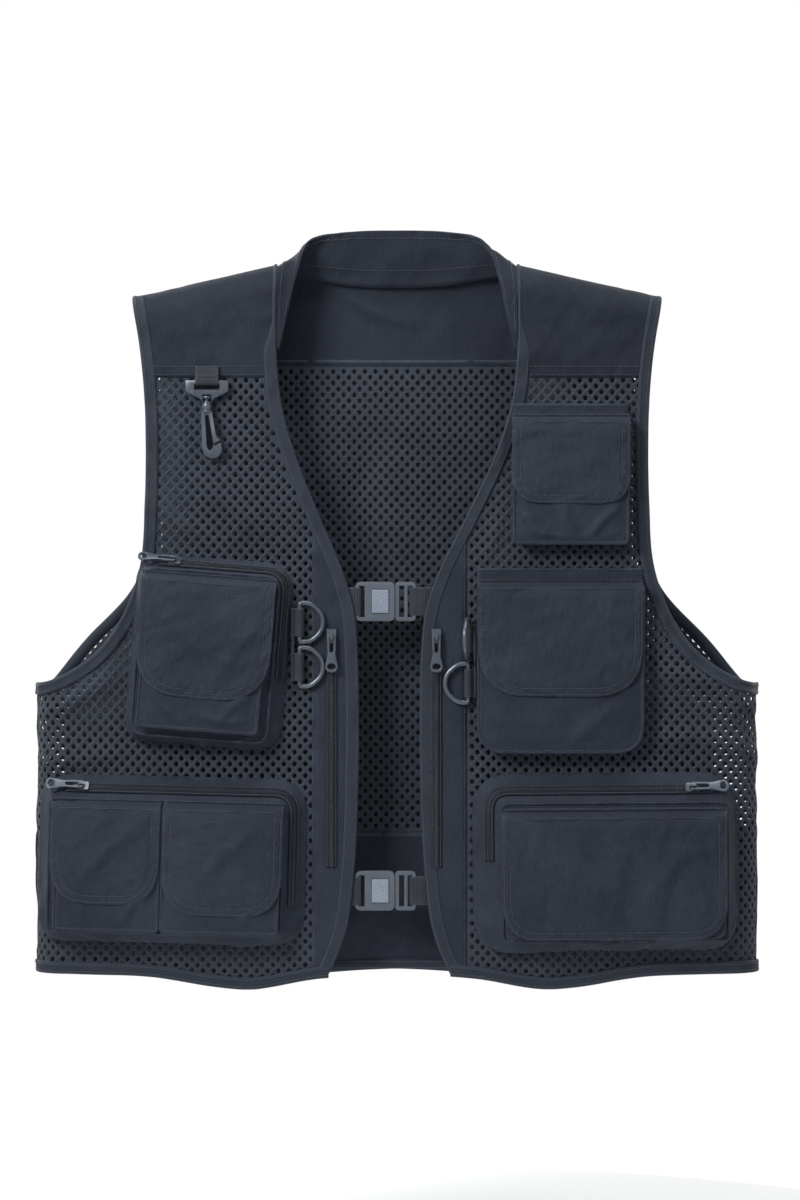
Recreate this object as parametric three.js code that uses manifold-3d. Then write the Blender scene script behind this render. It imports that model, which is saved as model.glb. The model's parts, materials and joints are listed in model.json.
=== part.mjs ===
// Fishing vest, hung upright: mesh body with nylon yokes, V neck and placket, seven pockets,
// four D-rings, a swivel hook and two centre-button buckles.
// Millimetres. +Z up, the front faces -Y, +X is to the right of someone who looks at the front.
// "left" and "right" in the names are as seen from the front. The origin is the middle of the
// shoulder line, where a hanger carries the vest. "Forward" distances run towards -Y.

import * as THREE from 'three';
import { mergeVertices } from 'three/addons/utils/BufferGeometryUtils.js';
import Module from 'manifold-3d';

const wasm = await Module();
wasm.setup();

// ---------------------------------------------------------------- driving dimensions

const GAP = 0.3;                 // running and seating clearance between separate pieces

// Body shell
const HALF_WIDTH = 313;          // middle to the side seam
const HALF_DEPTH = 24;           // side seam to the front face of the cloth
const BODY_LENGTH = 628;         // shoulder line to the lowest point of the hem
const CLOTH = 2.4;               // wall of the body cloth with its lining
const RIM_DEPTH = 0.6;           // half of the flat left along a fold
const SHOULDER_SLOPE = 0.23;
const SHOULDER_HALF = 230;       // middle to the shoulder tip
const CHEST_HALF = 217;          // middle to the narrowest place between the armholes
const ARMHOLE_DEPTH = 363;       // shoulder line to the underarm
const BACK_ARMHOLE_RISE = 24;    // the back armhole is cut less deep than the front one
const SCOOP_SHARE = 0.88;        // share of the underarm curve that the rise reaches
const ARMHOLE_TAPE = 10;
const HEM_TAPE = 10;
const FRONT_YOKE_DROP = 98;
const BACK_YOKE_DROP = 85;
const BACK_PANEL_TOP = 494;      // shoulder line to the top of the solid lower back panel

// Neck, V opening and plackets
const NECK_HALF = 104;
const BACK_NECK_DROP = 11;
const COLLAR_RISE = 31;          // collar top over the shoulder line
const COLLAR_CLOTH = 2.2;
const COLLAR_TIP_DROP = 76;
const V_DEPTH = 320;             // shoulder line to where the front edges run straight
const OPENING_MIDDLE = -6.5;
const OPENING_HALF = 27;
const EDGE_TAPE = 11;
const EDGE_TAPE_TOP = 22;        // shoulder line to the top end of the edge tape
const PLACKET_WIDTH = 40;
const PLACKET_TOP = 150;

// Pocket cloth
const WALL = 1.4;
const FLAP_CLOTH = 1.2;
const HINGE_SETBACK = 1.2;       // flap hinge line to the flap's sewn edge
const MOUTH_CLEARANCE = 3;       // flap hinge line to the pocket mouth under it

// Zips
const ZIP_TAPE = 10;
const ZIP_TAPE_CLOTH = 0.8;
const ZIP_CHAIN = 5;
const ZIP_CHAIN_HEIGHT = 2.2;
const SLIDER_WIDTH = 9;
const SLIDER_LENGTH = 12;
const SLIDER_PLATE = 1.2;
const PULL_LENGTH = 32;
const PULL_WIDTH = 10;
const PULL_THICKNESS = 2;
const PULL_PIN = 1.6;            // height of the pull's cross bar
const BRIDGE_WIDTH = 2.4;
const BRIDGE_WIRE = 1.2;
const BRIDGE_ROOM = 1.6;         // pull axis to the inside of the slider's bridge

// D-rings and webbing
const RING_HEIGHT = 37.5;
const RING_REACH = 22;           // bar middle to the outside of the bow
const RING_WIRE = 4;
const RING_PITCH = 38.5;
const WEBBING = 1.6;
const LOOP_WEBBING = 1.2;
const LOOP_HEIGHT = 25;
const LOOP_SEWN = 4.5;           // loop's room to the end of its sewn strip

// Buckles
const BUCKLE_HEIGHT = 34;
const BUCKLE_DEPTH = 10;
const BUCKLE_WALL = 1.6;
const FEMALE_LENGTH = 34;
const MALE_LENGTH = 18;
const TONGUE_LENGTH = 20;
const TONGUE_HEIGHT = 23;
const TONGUE_THICKNESS = 2.6;
const BUTTON_HEIGHT = 21;
const BUTTON_LENGTH = 15;
const BUTTON_PROUD = 0.6;
const BUTTON_LIP = 1;
const STRAP_WIDTH = 25;
const STRAP_LENGTH = 48;
const STRAP_RISE = 10;           // strap's run from the buckle's plane up to the cloth

// Swivel hook
const HOOK_X = -164;
const HOOK_BASE_WIDTH = 37;
const HOOK_BAR = 3;
const HOOK_TAB_WIDTH = 20;
const HOOK_BASE_DROP = 24;
const HOOK_POST_RADIUS = 2.2;
const HOOK_POST_FORWARD = 1.8;   // webbing bar to the swivel axis, forwards
const HOOK_DROP = 40;
const HOOK_THICKNESS = 6;
const HOOK_BAR_ROOM = HOOK_BAR / 2 * Math.SQRT2 + GAP;   // square bar's corner turns inside this

// ---------------------------------------------------------------- finishes

const finish = (colour, roughness, metalness = 0) => () =>
  new THREE.MeshStandardMaterial({ color: colour, roughness, metalness });
const nylon = finish(0x323743, 0.82);
const mesh = finish(0x2a2e37, 0.9);
const tape = finish(0x2c313c, 0.85);
const webbing = finish(0x2d3139, 0.8);
const zipCoil = finish(0x3c424e, 0.5);
const gunmetal = finish(0x7d8795, 0.38, 0.7);
const buckleShell = finish(0x4a515d, 0.45);
const buckleButton = finish(0x7d8796, 0.5);

// ---------------------------------------------------------------- solids and meshes

const vest = new THREE.Group();

function add(name, shape, material, parent = vest) {
  const geometry = shape.isBufferGeometry ? shape : toGeometry(shape);
  const part = new THREE.Mesh(geometry, material());
  part.name = name;
  parent.add(part);
  return part;
}

function toSolid(geometry) {
  geometry.deleteAttribute('normal');
  geometry.deleteAttribute('uv');
  const merged = mergeVertices(geometry, 1e-4);
  return new wasm.Manifold(new wasm.Mesh({
    numProp: 3,
    vertProperties: new Float32Array(merged.attributes.position.array),
    triVerts: new Uint32Array(merged.index.array),
  }));
}

function toGeometry(solid) {
  const shape = solid.getMesh();
  const geometry = new THREE.BufferGeometry();
  geometry.setAttribute('position', new THREE.BufferAttribute(shape.vertProperties, 3));
  geometry.setIndex(new THREE.BufferAttribute(shape.triVerts, 1));
  return geometry;
}

function union(...solids) {
  return solids.reduce((sum, solid) => sum.add(solid));
}

// Box given by its lowest and highest corners
function box([x0, y0, z0], [x1, y1, z1]) {
  const geometry = new THREE.BoxGeometry(x1 - x0, y1 - y0, z1 - z0);
  return toSolid(geometry.translate((x0 + x1) / 2, (y0 + y1) / 2, (z0 + z1) / 2));
}

// Outline of [x, z] points made solid between two forward distances
function plate(outline, back, front) {
  const shape = new THREE.Shape(outline.map(([x, z]) => new THREE.Vector2(x, z)));
  const geometry = new THREE.ExtrudeGeometry(shape, { depth: front - back, bevelEnabled: false });
  return toSolid(geometry.rotateX(Math.PI / 2).translate(0, -back, 0));
}

// Outline of [x, z] points as a cutter right through the front half, the back half or both; the
// front half's cutter runs a little past the side seams, so that the two halves join cleanly
const REACH = 80;
const HALVES_LAP = 1;
const throughFront = (outline) => plate(outline, -HALVES_LAP, REACH);
const throughBack = (outline) => plate(outline, -REACH, 0);
const throughBoth = (outline) => plate(outline, -REACH, REACH);

// Closed sheet with a thickness; place(u, v, side) gives a point, side 0 behind and 1 in front
function slab(columns, rows, place) {
  const geometry = new THREE.BoxGeometry(1, 1, 1, columns, rows, 1);
  const corners = geometry.attributes.position;
  for (let i = 0; i < corners.count; i += 1) {
    const u = corners.getX(i) + 0.5;
    const v = corners.getY(i) + 0.5;
    corners.setXYZ(i, ...place(u, v, corners.getZ(i) > 0 ? 1 : 0));
  }
  return toSolid(geometry);
}

// Closed surface from points and triangles, turned to face outwards
function closedSolid(points, triangles) {
  let volume = 0;
  const cross = new THREE.Vector3();
  for (const [a, b, c] of triangles) {
    volume += cross.crossVectors(points[b], points[c]).dot(points[a]);
  }
  const faces = volume < 0 ? triangles.map(([a, b, c]) => [a, c, b]) : triangles;
  const geometry = new THREE.BufferGeometry().setFromPoints(points);
  geometry.setIndex(faces.flat());
  return toSolid(geometry);
}

// Profile of [n, a] points carried along frames { at, n, a }
function sweep(frames, profile, closed = false) {
  const points = frames.flatMap(({ at, n, a }) => profile.map(([dn, da]) =>
    at.clone().addScaledVector(n, dn).addScaledVector(a, da)));
  const count = profile.length;
  const triangles = [];
  const steps = closed ? frames.length : frames.length - 1;
  for (let i = 0; i < steps; i += 1) {
    for (let j = 0; j < count; j += 1) {
      const here = i * count + j;
      const beside = i * count + (j + 1) % count;
      const ahead = ((i + 1) % frames.length) * count + j;
      const across = ((i + 1) % frames.length) * count + (j + 1) % count;
      triangles.push([here, beside, across], [here, across, ahead]);
    }
  }
  if (!closed) {
    const contour = profile.map(([n, a]) => new THREE.Vector2(n, a));
    const last = (frames.length - 1) * count;
    for (const [i, j, k] of THREE.ShapeUtils.triangulateShape(contour, [])) {
      triangles.push([i, k, j], [last + i, last + j, last + k]);
    }
  }
  return closedSolid(points, triangles);
}

// Two outlines of [x, z] points, as many in each, joined between two forward distances
function loft(backOutline, frontOutline, back, front) {
  const lay = (outline, forward) => outline.map(([x, z]) => new THREE.Vector3(x, -forward, z));
  const points = [...lay(backOutline, back), ...lay(frontOutline, front)];
  const count = backOutline.length;
  const triangles = [];
  for (let i = 0; i < count; i += 1) {
    const next = (i + 1) % count;
    triangles.push([i, next, count + next], [i, count + next, count + i]);
  }
  for (let i = 1; i < count - 1; i += 1) {
    triangles.push([0, i + 1, i], [count, count + i, count + i + 1]);
  }
  return closedSolid(points, triangles);
}

// ---------------------------------------------------------------- flat curves

// Smooth open curve through [x, z] points
function smooth(points, steps) {
  const curve = new THREE.CatmullRomCurve3(
    points.map(([x, z]) => new THREE.Vector3(x, 0, z)), false, 'centripetal');
  return curve.getPoints(steps).map(({ x, z }) => [x, z]);
}

// Open curve moved sideways: a positive distance moves it to the left of its own direction
function moved(points, distance) {
  return points.map(([x, z], i) => {
    const [x0, z0] = points[Math.max(i - 1, 0)];
    const [x1, z1] = points[Math.min(i + 1, points.length - 1)];
    const length = Math.hypot(x1 - x0, z1 - z0);
    return [x - distance * (z1 - z0) / length, z + distance * (x1 - x0) / length];
  });
}

// Polygon with its corners rounded, clockwise or not as the corners run
const CORNER_STEPS = 4;
function rounded(corners, radii, closed = true) {
  const outline = [];
  corners.forEach(([x, z], i) => {
    const radius = Array.isArray(radii) ? radii[i] : radii;
    const isEnd = !closed && (i === 0 || i === corners.length - 1);
    if (radius === 0 || isEnd) {
      outline.push([x, z]);
      return;
    }
    const [px, pz] = corners[(i + corners.length - 1) % corners.length];
    const [nx, nz] = corners[(i + 1) % corners.length];
    const before = radius / Math.hypot(px - x, pz - z);
    const after = radius / Math.hypot(nx - x, nz - z);
    for (let k = 0; k <= CORNER_STEPS; k += 1) {
      const t = k / CORNER_STEPS;
      const pull = (1 - t) ** 2 * before;
      const push = t ** 2 * after;
      outline.push([x + pull * (px - x) + push * (nx - x), z + pull * (pz - z) + push * (nz - z)]);
    }
  });
  return outline;
}

// Rectangle from its sides, clockwise from the top left, with round top and bottom corners
function panelOutline({ left, right, top, bottom }, topRadius, bottomRadius) {
  return rounded([[left, top], [right, top], [right, bottom], [left, bottom]],
    [topRadius, topRadius, bottomRadius, bottomRadius]);
}

// ---------------------------------------------------------------- body shell

const FOLD_STEPS = 5;
const SHELL_BELOW = 20;          // the closed forms run on below the hem before they are cut

function shoulderLine(x) {
  return -SHOULDER_SLOPE * Math.max(0, Math.abs(x) - NECK_HALF);
}

// Share of the full depth at a distance from a fold that is rounded over a radius
function foldShare(distance, radius) {
  const inset = Math.max(0, 1 - distance / radius);
  return Math.sqrt(Math.max(0, 1 - inset * inset));
}

// Flattened body form, as deep as the vest, its sides and shoulders folded over
function bodyForm(inset) {
  const halfWidth = HALF_WIDTH - inset;
  const halfDepth = HALF_DEPTH - inset;
  const flat = halfWidth - halfDepth;
  const fold = (k) => halfDepth * Math.sin((k / FOLD_STEPS) * Math.PI / 2);
  const stations = [0, NECK_HALF, (NECK_HALF + flat) / 2, flat];
  for (let k = 1; k <= FOLD_STEPS; k += 1) stations.push(flat + fold(k));
  const across = [...stations.slice(1).map((x) => -x).reverse(), ...stations];
  const drops = [];
  for (let k = FOLD_STEPS; k >= 0; k -= 1) drops.push(halfDepth - fold(k));
  const bottom = -BODY_LENGTH - SHELL_BELOW - inset;
  const rows = drops.length;
  return slab(across.length - 1, rows, (u, v, side) => {
    const x = across[Math.round(u * (across.length - 1))];
    const row = Math.round((1 - v) * rows);
    const top = shoulderLine(x) - inset;
    const z = row < rows ? top - drops[row] : bottom;
    const share = foldShare(halfWidth - Math.abs(x), halfDepth) * foldShare(top - z, halfDepth);
    const depth = Math.max(RIM_DEPTH, halfDepth * share);
    return [x, side === 1 ? -depth : depth, z];
  });
}

const shell = bodyForm(0).subtract(bodyForm(CLOTH));
const FAR = HALF_WIDTH + 60;
const LOW = -BODY_LENGTH - 2 * SHELL_BELOW;
const HIGH = 60;
const frontShell = shell.intersect(box([-FAR, -REACH, LOW], [FAR, -GAP / 2, HIGH]));
const backShell = shell.intersect(box([-FAR, GAP / 2, LOW], [FAR, REACH, HIGH]));

// Everything outside an armhole, its edge moved towards the body by a distance
function armholeSpace(side, distance, rise) {
  const tip = shoulderLine(SHOULDER_HALF);
  const shoulder = (share, drop) =>
    [CHEST_HALF + (SHOULDER_HALF - CHEST_HALF) * share, -ARMHOLE_DEPTH * drop];
  const spread = HALF_WIDTH - CHEST_HALF;
  const scoop = (share, drop) => [CHEST_HALF + spread * share, -ARMHOLE_DEPTH * drop];
  const front = smooth([[SHOULDER_HALF + 6, 10], [SHOULDER_HALF, tip], shoulder(0.5, 0.18),
    shoulder(0.15, 0.29), shoulder(0, 0.42), scoop(0.01, 0.58), scoop(0.05, 0.72),
    scoop(0.2, 0.835), scoop(0.42, 0.92), scoop(0.7, 0.975), scoop(0.95, 1), scoop(1.25, 1)], 36);
  const edge = front.map(([x, z]) => {
    const share = Math.min((x - CHEST_HALF) / spread / SCOOP_SHARE, 1);
    return [x, z > -ARMHOLE_DEPTH / 2 || share >= 1 ? z : z + rise * Math.sin(Math.PI * share)];
  });
  const line = moved(edge, -distance);
  const outline = [...line, [FAR, line.at(-1)[1]], [FAR, HIGH], [line[0][0], HIGH]];
  return outline.map(([x, z]) => [side * x, z]);
}

// Everything on the opening's side of a front edge moved away from the opening by a distance
function openingSpace(side, distance) {
  const spread = NECK_HALF - OPENING_HALF;
  const run = V_DEPTH - COLLAR_TIP_DROP;
  const vee = (share, drop) => [side * (OPENING_HALF + spread * share)
    + OPENING_MIDDLE * (1 - share), -COLLAR_TIP_DROP - run * drop];
  const skirt = (flare, rise) => [OPENING_MIDDLE + side * (OPENING_HALF + flare),
    -BODY_LENGTH + rise];
  const edge = smooth([[side * NECK_HALF, HIGH], [side * NECK_HALF, 0], vee(1, 0),
    vee(0.93, 0.2), vee(0.73, 0.4), vee(0.45, 0.6), vee(0.19, 0.78), vee(0.05, 0.92),
    vee(0, 1.1), skirt(0, 165), skirt(4, 95), skirt(10, 52), skirt(22, 20), skirt(45, -20)], 48);
  const line = moved(edge, side * distance);
  const beyond = [[-side * FAR, LOW - 1], [-side * FAR, HIGH]];
  return [...line, [line.at(-1)[0], LOW - 1], ...beyond];
}

// Everything under the hem line raised by a distance
function hemSpace(distance) {
  const half = [[0.02, 13], [0.22, 9], [0.4, 0], [0.5, 2], [0.68, 11], [0.85, 13], [1.15, 15]];
  const at = (side) => ([share, rise]) => [side * share * HALF_WIDTH, -BODY_LENGTH + rise];
  const edge = smooth([...half.map(at(-1)).reverse(), ...half.map(at(1))], 40);
  const line = moved(edge, distance);
  return [[-FAR, LOW - 1], [-FAR, line[0][1]], ...line, [FAR, line.at(-1)[1]], [FAR, LOW - 1]];
}

// Everything above the back neck seam moved up by a distance
function backNeckSpace(distance) {
  const seam = [];
  for (let k = 0; k <= 12; k += 1) {
    const share = k / 6 - 1;
    const rise = (BACK_NECK_DROP - 3) * share * share;
    seam.push([share * (NECK_HALF - distance), -BACK_NECK_DROP + rise + distance]);
  }
  return [...seam, [NECK_HALF - distance, HIGH], [-NECK_HALF + distance, HIGH]];
}

const band = (top, bottom) => throughBoth([[-FAR, top], [FAR, top], [FAR, bottom], [-FAR, bottom]]);
const sides = [['left', -1], ['right', 1]];

function armholeCut(side, distance) {
  return union(throughFront(armholeSpace(side, distance, 0)),
    throughBack(armholeSpace(side, distance, BACK_ARMHOLE_RISE)));
}

function placketCut(side, grow) {
  const outer = OPENING_MIDDLE + side * (OPENING_HALF + PLACKET_WIDTH + grow);
  const strip = [[outer, -PLACKET_TOP], [outer, LOW - 1], [-side * FAR, LOW - 1],
    [-side * FAR, -PLACKET_TOP]];
  const edge = throughFront(openingSpace(side, EDGE_TAPE + grow))
    .subtract(band(HIGH + 1, -EDGE_TAPE_TOP + grow));
  return edge.add(throughFront(strip));
}

const bothArmholes = armholeCut(-1, ARMHOLE_TAPE + GAP).add(armholeCut(1, ARMHOLE_TAPE + GAP));
const hemCut = throughBoth(hemSpace(HEM_TAPE + GAP));

for (const [word, side] of sides) {
  const half = throughBoth([[side * GAP, HIGH], [side * FAR, HIGH], [side * FAR, LOW],
    [side * GAP, LOW]]);
  const ring = shell.intersect(armholeCut(side, ARMHOLE_TAPE));
  add(`armhole_binding_${word}`, ring.subtract(armholeCut(side, 0)), tape);

  const opening = throughFront(openingSpace(side, 0));
  const panel = frontShell.subtract(armholeCut(side, ARMHOLE_TAPE + GAP))
    .subtract(hemCut).subtract(opening);
  add(`placket_${word}`, panel.intersect(placketCut(side, 0)), nylon);

  const cloth = panel.subtract(placketCut(side, GAP)).intersect(side < 0
    ? throughBoth([[-FAR, HIGH], [0, HIGH], [0, LOW], [-FAR, LOW]]) : half);
  const yoke = cloth.intersect(band(HIGH, -FRONT_YOKE_DROP));
  add(`front_yoke_${word}`, side < 0 ? yoke.add(hookTab()) : yoke, nylon);
  add(`front_mesh_${word}`, cloth.intersect(band(-FRONT_YOKE_DROP - GAP, LOW)), mesh);
}

const backCloth = backShell.subtract(bothArmholes).subtract(hemCut)
  .subtract(throughBack(backNeckSpace(0)));
add('back_yoke', backCloth.intersect(band(HIGH, -BACK_YOKE_DROP)), nylon);
add('back_mesh', backCloth.intersect(band(-BACK_YOKE_DROP - GAP, -BACK_PANEL_TOP)), mesh);
add('back_lower_panel', backCloth.intersect(band(-BACK_PANEL_TOP - GAP, LOW)), nylon);

const wholeOpening = throughFront(openingSpace(-1, 0)).intersect(throughFront(openingSpace(1, 0)));
add('hem_binding', shell.intersect(throughBoth(hemSpace(HEM_TAPE)))
  .subtract(throughBoth(hemSpace(0))).subtract(wholeOpening), tape);

// ---------------------------------------------------------------- collar

// Neck seam and free edge of the stand collar, from the front tip to the middle of the back.
// Each row: share of the neck half width, depth share (-1 front, 1 back), height over the
// shoulder line.
const NECK_SEAM = [[1.0, -0.95, -COLLAR_TIP_DROP], [0.99, -0.95, -45], [0.985, -0.84, -14],
  [0.975, -0.42, -3.6], [0.96, 0, -1.4], [0.9, 0.38, -2.8], [0.67, 0.6, -5.4],
  [0.35, 0.73, -BACK_NECK_DROP + 1.6], [0, 0.77, -BACK_NECK_DROP + 0.8]];
const COLLAR_EDGE = [[0.985, -0.96, -COLLAR_TIP_DROP + 1], [0.93, -0.88, -50], [0.865, -0.72, -20],
  [0.79, -0.4, COLLAR_RISE - 23], [0.73, -0.1, COLLAR_RISE - 11], [0.65, 0.2, COLLAR_RISE - 6],
  [0.52, 0.42, COLLAR_RISE - 3], [0.29, 0.55, COLLAR_RISE - 0.5], [0, 0.58, COLLAR_RISE]];

function neckCurve(rows) {
  const at = (side) => ([x, y, z]) =>
    new THREE.Vector3(side * x * NECK_HALF, y * HALF_DEPTH, z);
  return new THREE.CatmullRomCurve3([...rows.map(at(-1)), ...rows.slice(0, -1).map(at(1)).reverse()]);
}

function collar() {
  const seam = neckCurve(NECK_SEAM);
  const edge = neckCurve(COLLAR_EDGE);
  const on = (u, v) => seam.getPoint(u).lerp(edge.getPoint(u), v);
  const small = 0.01;
  const sheet = slab(26, 2, (u, v, side) => {
    const u0 = Math.max(u - small, 0);
    const u1 = Math.min(u + small, 1);
    const along = on(u1, v).sub(on(u0, v));
    const rise = edge.getPoint(u).sub(seam.getPoint(u));
    const out = along.cross(rise).normalize();
    return on(u, v).addScaledVector(out, (side - 0.5) * COLLAR_CLOTH).toArray();
  });
  const neckSpace = throughFront(openingSpace(-1, -GAP)).intersect(throughFront(openingSpace(1, -GAP)))
    .add(throughBack(backNeckSpace(GAP)));
  return sheet.intersect(neckSpace);
}
add('collar', collar(), nylon);

// ---------------------------------------------------------------- zips

// Frames along a flat path of [x, z] points that runs clockwise round a pocket. The surface
// leans: n is its normal and a runs down the slope towards the front.
function slopeFrames(path, forward, lean) {
  return path.map(([x, z], i) => {
    const [x0, z0] = path[Math.max(i - 1, 0)];
    const [x1, z1] = path[Math.min(i + 1, path.length - 1)];
    const along = new THREE.Vector3(x1 - x0, 0, z1 - z0).normalize();
    const outward = new THREE.Vector3(-along.z, 0, along.x);
    const ahead = new THREE.Vector3(0, -1, 0);
    const n = outward.clone().multiplyScalar(Math.cos(lean)).addScaledVector(ahead, Math.sin(lean));
    const a = ahead.clone().multiplyScalar(Math.cos(lean)).addScaledVector(outward, -Math.sin(lean));
    return { at: new THREE.Vector3(x, -forward, z), along, n, a };
  });
}

// Tape with the closed coil standing on it
function zipStrip(frames, tapeWidth) {
  const half = tapeWidth / 2;
  const coil = ZIP_CHAIN / 2;
  const low = GAP;
  const mid = GAP + ZIP_TAPE_CLOTH;
  const high = GAP + ZIP_CHAIN_HEIGHT;
  return sweep(frames, [[low, -half], [mid, -half], [mid, -coil], [high, -coil], [high, coil],
    [mid, coil], [mid, half], [low, half]]);
}

// Turns a group so that its -Y faces along n and its -Z runs along the way the pull points
function faceAlong(group, at, n, pullWay) {
  const y = n.clone().negate();
  const z = pullWay.clone().negate();
  const x = new THREE.Vector3().crossVectors(y, z);
  group.setRotationFromMatrix(new THREE.Matrix4().makeBasis(x, y, z));
  group.position.copy(at);
}

// Slider on the coil and the pull on its bridge; at is a point on the surface under the tape
function zipHardware(prefix, parent, at, n, pullWay) {
  const group = new THREE.Group();
  faceAlong(group, at, n, pullWay);
  parent.add(group);

  const base = GAP + ZIP_CHAIN_HEIGHT + GAP;
  const face = base + SLIDER_PLATE;
  const halfWidth = SLIDER_WIDTH / 2;
  const halfLength = SLIDER_LENGTH / 2;
  const body = rounded([[-halfWidth, halfLength], [halfWidth, halfLength],
    [halfWidth * 0.7, -halfLength], [-halfWidth * 0.7, -halfLength]], 2);
  const lips = [-1, 1].map((side) => {
    const inner = side * (ZIP_CHAIN / 2 + GAP);
    const outer = side * halfWidth * 0.78;
    return box([Math.min(inner, outer), -base - 0.1, -halfLength + 1],
      [Math.max(inner, outer), -GAP - ZIP_TAPE_CLOTH - GAP, halfLength - 2]);
  });
  const axis = face + BRIDGE_ROOM;
  const outerRoom = BRIDGE_ROOM + BRIDGE_WIRE;
  const bridge = box([-BRIDGE_WIDTH / 2, -axis - outerRoom, -outerRoom],
    [BRIDGE_WIDTH / 2, -face + 0.2, outerRoom])
    .subtract(box([-BRIDGE_WIDTH, -axis - BRIDGE_ROOM, -BRIDGE_ROOM],
      [BRIDGE_WIDTH, -face, BRIDGE_ROOM]));
  const slider = union(plate(body, base, face), bridge, ...lips);
  add(`${prefix}_slider`, slider, gunmetal, group);

  const pin = PULL_PIN / 2;
  const neck = PULL_WIDTH * 0.36;
  const wide = PULL_WIDTH / 2;
  const end = -PULL_LENGTH + pin;
  const shoulder = -outerRoom * 1.7 - 1.4;
  const outline = rounded([[-neck, pin], [neck, pin], [neck, shoulder], [wide, end * 0.62],
    [wide, end], [-wide, end], [-wide, end * 0.62], [-neck, shoulder]],
  [0.5, 0.5, 1, 3, 4, 4, 3, 1]);
  const window = BRIDGE_WIDTH / 2 + GAP;
  const eye = panelOutline({ left: -wide + 2, right: wide - 2, top: end + 11, bottom: end + 2.2 },
    2.4, 2.6);
  const half = PULL_THICKNESS / 2;
  const pull = plate(outline, -half, half)
    .subtract(box([-window, -half - 1, -outerRoom * 1.7], [window, half + 1, -pin]))
    .subtract(plate(eye, -half - 1, half + 1));
  const piece = add(`${prefix}_pull`, pull, gunmetal, group);
  piece.position.set(0, -axis, 0);
}

// ---------------------------------------------------------------- flaps and patch pockets

// Flap that leaves its sewn edge forwards, over the pocket mouth, and then hangs down.
// Its own origin is the middle of its hinge line.
function flap(name, parent, { x, z, forward, width, height, reach, radius, material = nylon }) {
  const half = FLAP_CLOTH / 2;
  const hang = reach - HINGE_SETBACK;
  const roof = box([-width / 2, -hang - FLAP_CLOTH, -half], [width / 2, HINGE_SETBACK, half]);
  const outline = panelOutline({ left: -width / 2, right: width / 2, top: half, bottom: -height },
    0, radius);
  const piece = add(name, roof.add(plate(outline, hang, hang + FLAP_CLOTH)), material, parent);
  piece.position.set(x, -(forward + GAP + HINGE_SETBACK), z);
}

// Bellows pocket front with side and bottom walls, open at the top and at the back
function bellows(sheet, back, depth, radius, dividers = []) {
  const { left, right, top, bottom } = sheet;
  const front = back + depth;
  const inner = { left: left + WALL, right: right - WALL, top: top + WALL, bottom: bottom + WALL };
  const hollow = plate(panelOutline(inner, 0, Math.max(radius - WALL, 1)), back - 1, front - WALL);
  const shape = plate(panelOutline(sheet, 0, radius), back, front).subtract(hollow);
  return dividers.reduce((solid, x) =>
    solid.add(box([x - WALL / 2, -front + WALL / 2, bottom + WALL / 2], [x + WALL / 2, -back, top])),
  shape);
}

// ---------------------------------------------------------------- zipped pockets

const ZIPPED_DEPTH = 14;
const PATCH_DEPTH = 9;
const ZIP_SHARE = 0.55;          // how far down the sloping side the zip lies
const CORNER_SPREAD = 1.17;      // growth of a corner's rounding for each millimetre outwards

// Zipped compartment: a hollow bag whose front is smaller than its back. zipSide is -1 or 1
// for the side that the zip runs down.
function zippedPocket(name, spec) {
  const { x, z, turn, back, sag, plain, zipSide, zipStart, zipDrop, pullX, patch, flaps } = spec;
  const group = new THREE.Group();
  group.position.set(x, -(HALF_DEPTH + GAP), z);
  group.rotation.y = turn;
  vest.add(group);

  const zipLeft = zipSide < 0;
  const front = { left: back.left + (zipLeft ? sag : plain), top: back.top - sag,
    right: back.right - (zipLeft ? plain : sag), bottom: back.bottom + plain };
  const radius = 18;
  const backRadius = radius + CORNER_SPREAD * sag * ZIP_SHARE;
  const frontRadius = radius - CORNER_SPREAD * sag * (1 - ZIP_SHARE);
  const shrink = (sheet) => ({ left: sheet.left + WALL, right: sheet.right - WALL,
    top: sheet.top - WALL, bottom: sheet.bottom + WALL });
  const outer = loft(panelOutline(back, backRadius, backRadius),
    panelOutline(front, frontRadius, frontRadius), 0, ZIPPED_DEPTH);
  const inner = loft(panelOutline(shrink(back), backRadius, backRadius),
    panelOutline(shrink(front), frontRadius, frontRadius), WALL, ZIPPED_DEPTH - WALL);

  const level = back.top - sag * ZIP_SHARE;
  const edge = (zipLeft ? back.left : back.right) - zipSide * sag * ZIP_SHARE;
  const path = zipLeft
    ? rounded([[edge, level - zipDrop], [edge, level], [zipStart, level]], radius, false)
    : rounded([[zipStart, level], [edge, level], [edge, level - zipDrop]], radius, false);
  const lean = Math.atan2(sag, ZIPPED_DEPTH);
  const frames = slopeFrames(path, ZIPPED_DEPTH * ZIP_SHARE, lean);
  const slot = sweep(frames, [[-2 * WALL - 1, -1], [2, -1], [2, 1], [-2 * WALL - 1, 1]]);
  add(`${name}_body`, outer.subtract(inner).subtract(slot), nylon, group);
  const slope = Math.hypot(sag, ZIPPED_DEPTH);
  add(`${name}_zip`, zipStrip(frames, Math.min(ZIP_TAPE, slope * 0.75)), zipCoil, group);

  const first = slopeFrames([[pullX, level], [pullX + 1, level]], ZIPPED_DEPTH * ZIP_SHARE, lean)[0];
  const way = first.along.clone().multiplyScalar(zipLeft ? 1 : -1);
  zipHardware(`${name}_zip`, group, first.at, first.n, way);

  const patchBack = ZIPPED_DEPTH + GAP;
  add(patch.name, bellows(patch.sheet, patchBack, PATCH_DEPTH, patch.radius, patch.dividers),
    nylon, group);
  for (const each of flaps) {
    flap(each.name, group, { ...each, z: patch.sheet.top + MOUTH_CLEARANCE,
      forward: ZIPPED_DEPTH, reach: PATCH_DEPTH + GAP });
  }
}

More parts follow.
